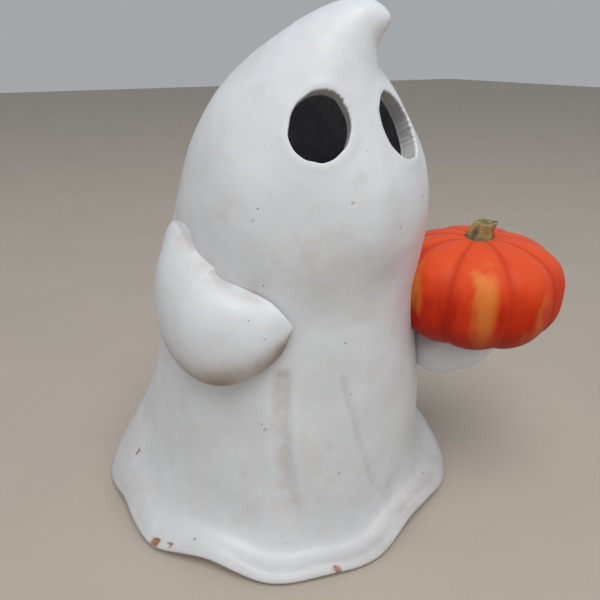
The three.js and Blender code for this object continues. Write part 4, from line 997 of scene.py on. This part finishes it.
def olive_paint():
    """Olive and yellow dabs over brown, dark green at the foot."""
    paint = Paint("olive_paint")
    streak = paint.noise(260, 3, 0.5, (1, 1, 0.4))
    colour = paint.mix(paint.between(streak, 0.35, 0.65), *OLIVE)
    dabs = paint.between(paint.noise(210, 2), 0.5, 0.62, 0, 0.85)
    colour = paint.mix(dabs, colour, YELLOW_DAB)
    foot = paint.between(paint.mask("level"), 0.45, 0.1, 0, 0.85)
    colour = paint.mix(foot, colour, DARK_GREEN)
    return paint.done(Base_Color=colour, Roughness=0.5, Normal=paint.bump(streak, 0.4, 0.0004))


# Finish of the plain parts: colours between which fine noise mixes, roughness, metal.
PLAIN = {
    "white_plastic": ((0.74, 0.73, 0.70), (0.78, 0.77, 0.74), 0.45, 0.0),
    "black_plastic": ((0.012, 0.012, 0.013), (0.02, 0.02, 0.022), 0.4, 0.0),
    "seal_foam": ((0.07, 0.07, 0.075), (0.12, 0.12, 0.125), 0.9, 0.0),
    "steel": ((0.48, 0.48, 0.49), (0.6, 0.6, 0.6), 0.3, 1.0),
    "board_green": ((0.012, 0.13, 0.045), (0.02, 0.17, 0.06), 0.4, 0.0),
    "cell_skin": ((0.045, 0.15, 0.27), (0.06, 0.18, 0.31), 0.3, 0.0),
    "frosted_plastic": ((0.86, 0.83, 0.74), (0.9, 0.87, 0.79), 0.55, 0.0),
    "led_clear": ((0.95, 0.8, 0.45), (0.98, 0.86, 0.55), 0.12, 0.0),
    "red_wire": ((0.42, 0.02, 0.015), (0.5, 0.03, 0.02), 0.45, 0.0),
    "black_wire": ((0.014, 0.014, 0.015), (0.024, 0.024, 0.026), 0.45, 0.0),
    "resistor_tan": ((0.55, 0.38, 0.2), (0.62, 0.45, 0.25), 0.55, 0.0),
}


def plain_finish(slot):
    dark, light, rough, metal = PLAIN[slot]
    paint = Paint(slot)
    grain = paint.noise(1600, 2)
    colour = paint.mix(paint.between(paint.noise(120, 3), 0.35, 0.65), dark, light)
    rough = paint.between(paint.noise(300, 2), 0.3, 0.7, rough * 0.9, rough * 1.1)
    paint.done(Base_Color=colour, Roughness=rough, Metallic=metal,
               Normal=paint.bump(grain, 0.12, 0.0001))
    if slot in ("frosted_plastic", "led_clear"):
        paint.done(Transmission_Weight=0.6, IOR=1.45)
    return paint.material


# Pieces.

def crease_gap(rows, points):
    """Distance of each point from the crease on top of an arm."""
    line = spline([[*beside(*row[:3]), row[3]] for row in rows], np.linspace(*CREASE_SHARES))
    line[:, 2] += line[:, 3]
    gap = np.full(len(points), np.inf)
    for at in line[:, :3]:
        gap = np.minimum(gap, np.linalg.norm(points - at, axis=1))
    return gap


def body_masks(points, raw, marks):
    """Masks of the figure's skin: stains and a painted shadow under the head, dust and painted shade
    low on the skirt, and chips.
    """
    outside = raw == 0
    chip = np.max([spot(marks, c, points) for c in CHIPS], axis=0)
    depths = [groove_depth(groove, marks[:, 0], marks[:, 1]) for groove in GROOVES]
    stain_and_shade = np.max([share * depth for share, depth in zip(GROOVE_STAINS, depths)], axis=0)
    # Among these, the broad spot under the head is a painted shadow.
    for flaw in STAINS_AND_SHADE:
        stain_and_shade = np.maximum(stain_and_shade, flaw[4] * spot(marks, flaw, points))
    for rows in (RIGHT_ARM, LEFT_ARM):
        crease = bell(crease_gap(rows, points), BODY_CREASE_WIDTH)
        stain_and_shade = np.maximum(stain_and_shade, CREASE_STAIN * crease)
    for at in PINHOLES:
        hole = spot(marks, (*at, PINHOLE_SIZE, PINHOLE_SIZE), points)
        chip = np.maximum(chip, PINHOLE_STRENGTH * hole)
    # Dust low on the skirt, with painted shade over it.
    low = smooth(marks[:, 1], DUST_AND_SHADE_TOP, 0)
    dust_and_shade = low * sum(size * bell(turn(marks[:, 0] - where), spread) for where, spread, size in DUST_AND_SHADE_PATCHES)
    return {"raw": raw, "chip": chip * outside, "stain_and_shade": stain_and_shade * outside, "dust_and_shade": dust_and_shade * outside}


def build_ghost(white):
    points, faces, raw, marks = ghost_points()
    raw = smooth(raw, *RAW_EDGE)
    make("ghost_body", points, faces, white,
         stands_for=["ghost_shell"], masks=body_masks(points, raw, marks))


def build_sleeves(white):
    for name, node, arm, (points, (rows, sides)) in (
            ("right_sleeve", "right_arm", RIGHT_ARM, right_sleeve_points()),
            ("left_sleeve", "left_arm", LEFT_ARM, left_sleeve_points())):
        points = capped(points.reshape(rows, sides, 3))
        none = np.zeros(len(points))
        turned = np.linspace(0, 2 * pi, sides, endpoint=False)
        # Painted shade: the underside of each arm is darkened in brown, setting in from the shoulder.
        along = smooth(np.linspace(0, 1, rows), *ARM_SHADE_START)
        under = np.append((along[:, None] * smooth(-np.sin(turned), *UNDERSIDE)).ravel(), [0, 0])
        stain_and_shade = CREASE_STAIN * bell(crease_gap(arm, points), ARM_CREASE_WIDTH)
        masks = {"raw": none, "chip": none, "dust_and_shade": UNDER_ARM_SHADE * under, "stain_and_shade": stain_and_shade}
        make(name, points, tube_faces(rows, sides), white,
             stands_for=[node], masks=masks)


def build_fruit(orange, olive):
    points, ridge, level = pumpkin_points()
    rows, columns = ridge.shape
    masks = {"ridge": np.append(ridge.ravel(), [1, 1]), "level": np.append(level.ravel(), [-1, 1])}
    make("pumpkin_fruit", capped(points), tube_faces(rows, columns), orange,
         stands_for=["pumpkin"], masks=masks)
    rings = stem_points()
    rows, columns = rings.shape[:2]
    level = np.append(np.repeat(np.linspace(0, 1, rows), columns), [0, 1])
    make("stem", capped(rings), tube_faces(rows, columns), olive,
         stands_for=["pumpkin_stem"], masks={"level": level})


def finish_plain_parts():
    """Gives the solids that no piece replaces their finish."""
    finishes = {slot: plain_finish(slot) for slot in PLAIN}
    for part in frame["record"]["subparts"]:
        if part["material_slot"] in finishes:
            mesh = frame["nodes"][part["node"]].data
            mesh.materials.clear()
            mesh.materials.append(finishes[part["material_slot"]])


# Surroundings.

def one_sided(name, colour, roughness):
    """Floor finish that is seen from above only."""
    paint = Paint(name, Roughness=roughness)
    grain = paint.noise(14, 4)
    shade = tuple(c * FLOOR_SHADE for c in colour)
    paint.done(Base_Color=paint.mix(paint.between(grain, 0.35, 0.65), colour, shade))
    shown = paint.surface.outputs[0]
    output = paint.tree.nodes["Material Output"]
    clear = paint.node("BsdfTransparent")
    back = paint.node("NewGeometry", "Backfacing")
    mixed = paint.node("MixShader", inputs={0: back, 1: shown, 2: clear})
    paint.tree.links.new(mixed, output.inputs["Surface"])
    return paint.material


def build_floor():
    half = FLOOR_SIZE / 2
    mesh = bpy.data.meshes.new("floor")
    corners = [(-half, -half, 0), (half, -half, 0), (half, half, 0), (-half, half, 0)]
    mesh.from_pydata(corners, [], [(0, 1, 2, 3)])
    mesh.materials.append(one_sided("floor", FLOOR_COLOUR, FLOOR_ROUGHNESS))
    floor = added("floor", mesh)


def build_lights():
    world = bpy.data.worlds.new("daylight")
    world.use_nodes = True
    sky = world.node_tree.nodes["Background"]
    sky.inputs["Color"].default_value = (*WORLD_COLOUR, 1)
    sky.inputs["Strength"].default_value = WORLD_STRENGTH
    bpy.context.scene.world = world
    for name, at, size, energy in LAMPS:
        light = bpy.data.lights.new(name, "AREA")
        light.shape = "DISK"
        light.size = size
        light.energy = energy
        lamp = added(name, light)
        lamp.location = at
        aim = Vector((AXIS[0], AXIS[1], LAMP_AIM)) - Vector(at)
        lamp.rotation_euler = aim.to_track_quat("-Z", "Y").to_euler()


def build_camera():
    turned = radians(CAMERA_AZIMUTH)
    back = Vector((sin(turned), -cos(turned), 0))
    right = Vector((cos(turned), sin(turned), 0))
    data = bpy.data.cameras.new("camera")
    data.sensor_width = SENSOR_WIDTH
    data.lens = FOCAL_PIXELS / PICTURE_SIZE * SENSOR_WIDTH
    data.clip_start = CLIP_START
    camera = added("camera", data)
    camera.location = (Vector(AXIS) + back * CAMERA_DISTANCE + right * CAMERA_ASIDE
                       + Vector((0, 0, CAMERA_HEIGHT)))
    pitch = radians(CAMERA_PITCH)
    aim = -back * cos(pitch) - Vector((0, 0, sin(pitch)))
    camera.rotation_euler = aim.to_track_quat("-Z", "Y").to_euler()
    bpy.context.scene.camera = camera


bpy.context.scene.view_settings.view_transform = "Standard"
white = white_paint()
build_ghost(white)
build_sleeves(white)
build_fruit(orange_paint(), olive_paint())
finish_plain_parts()
build_floor()
build_lights()
build_camera()
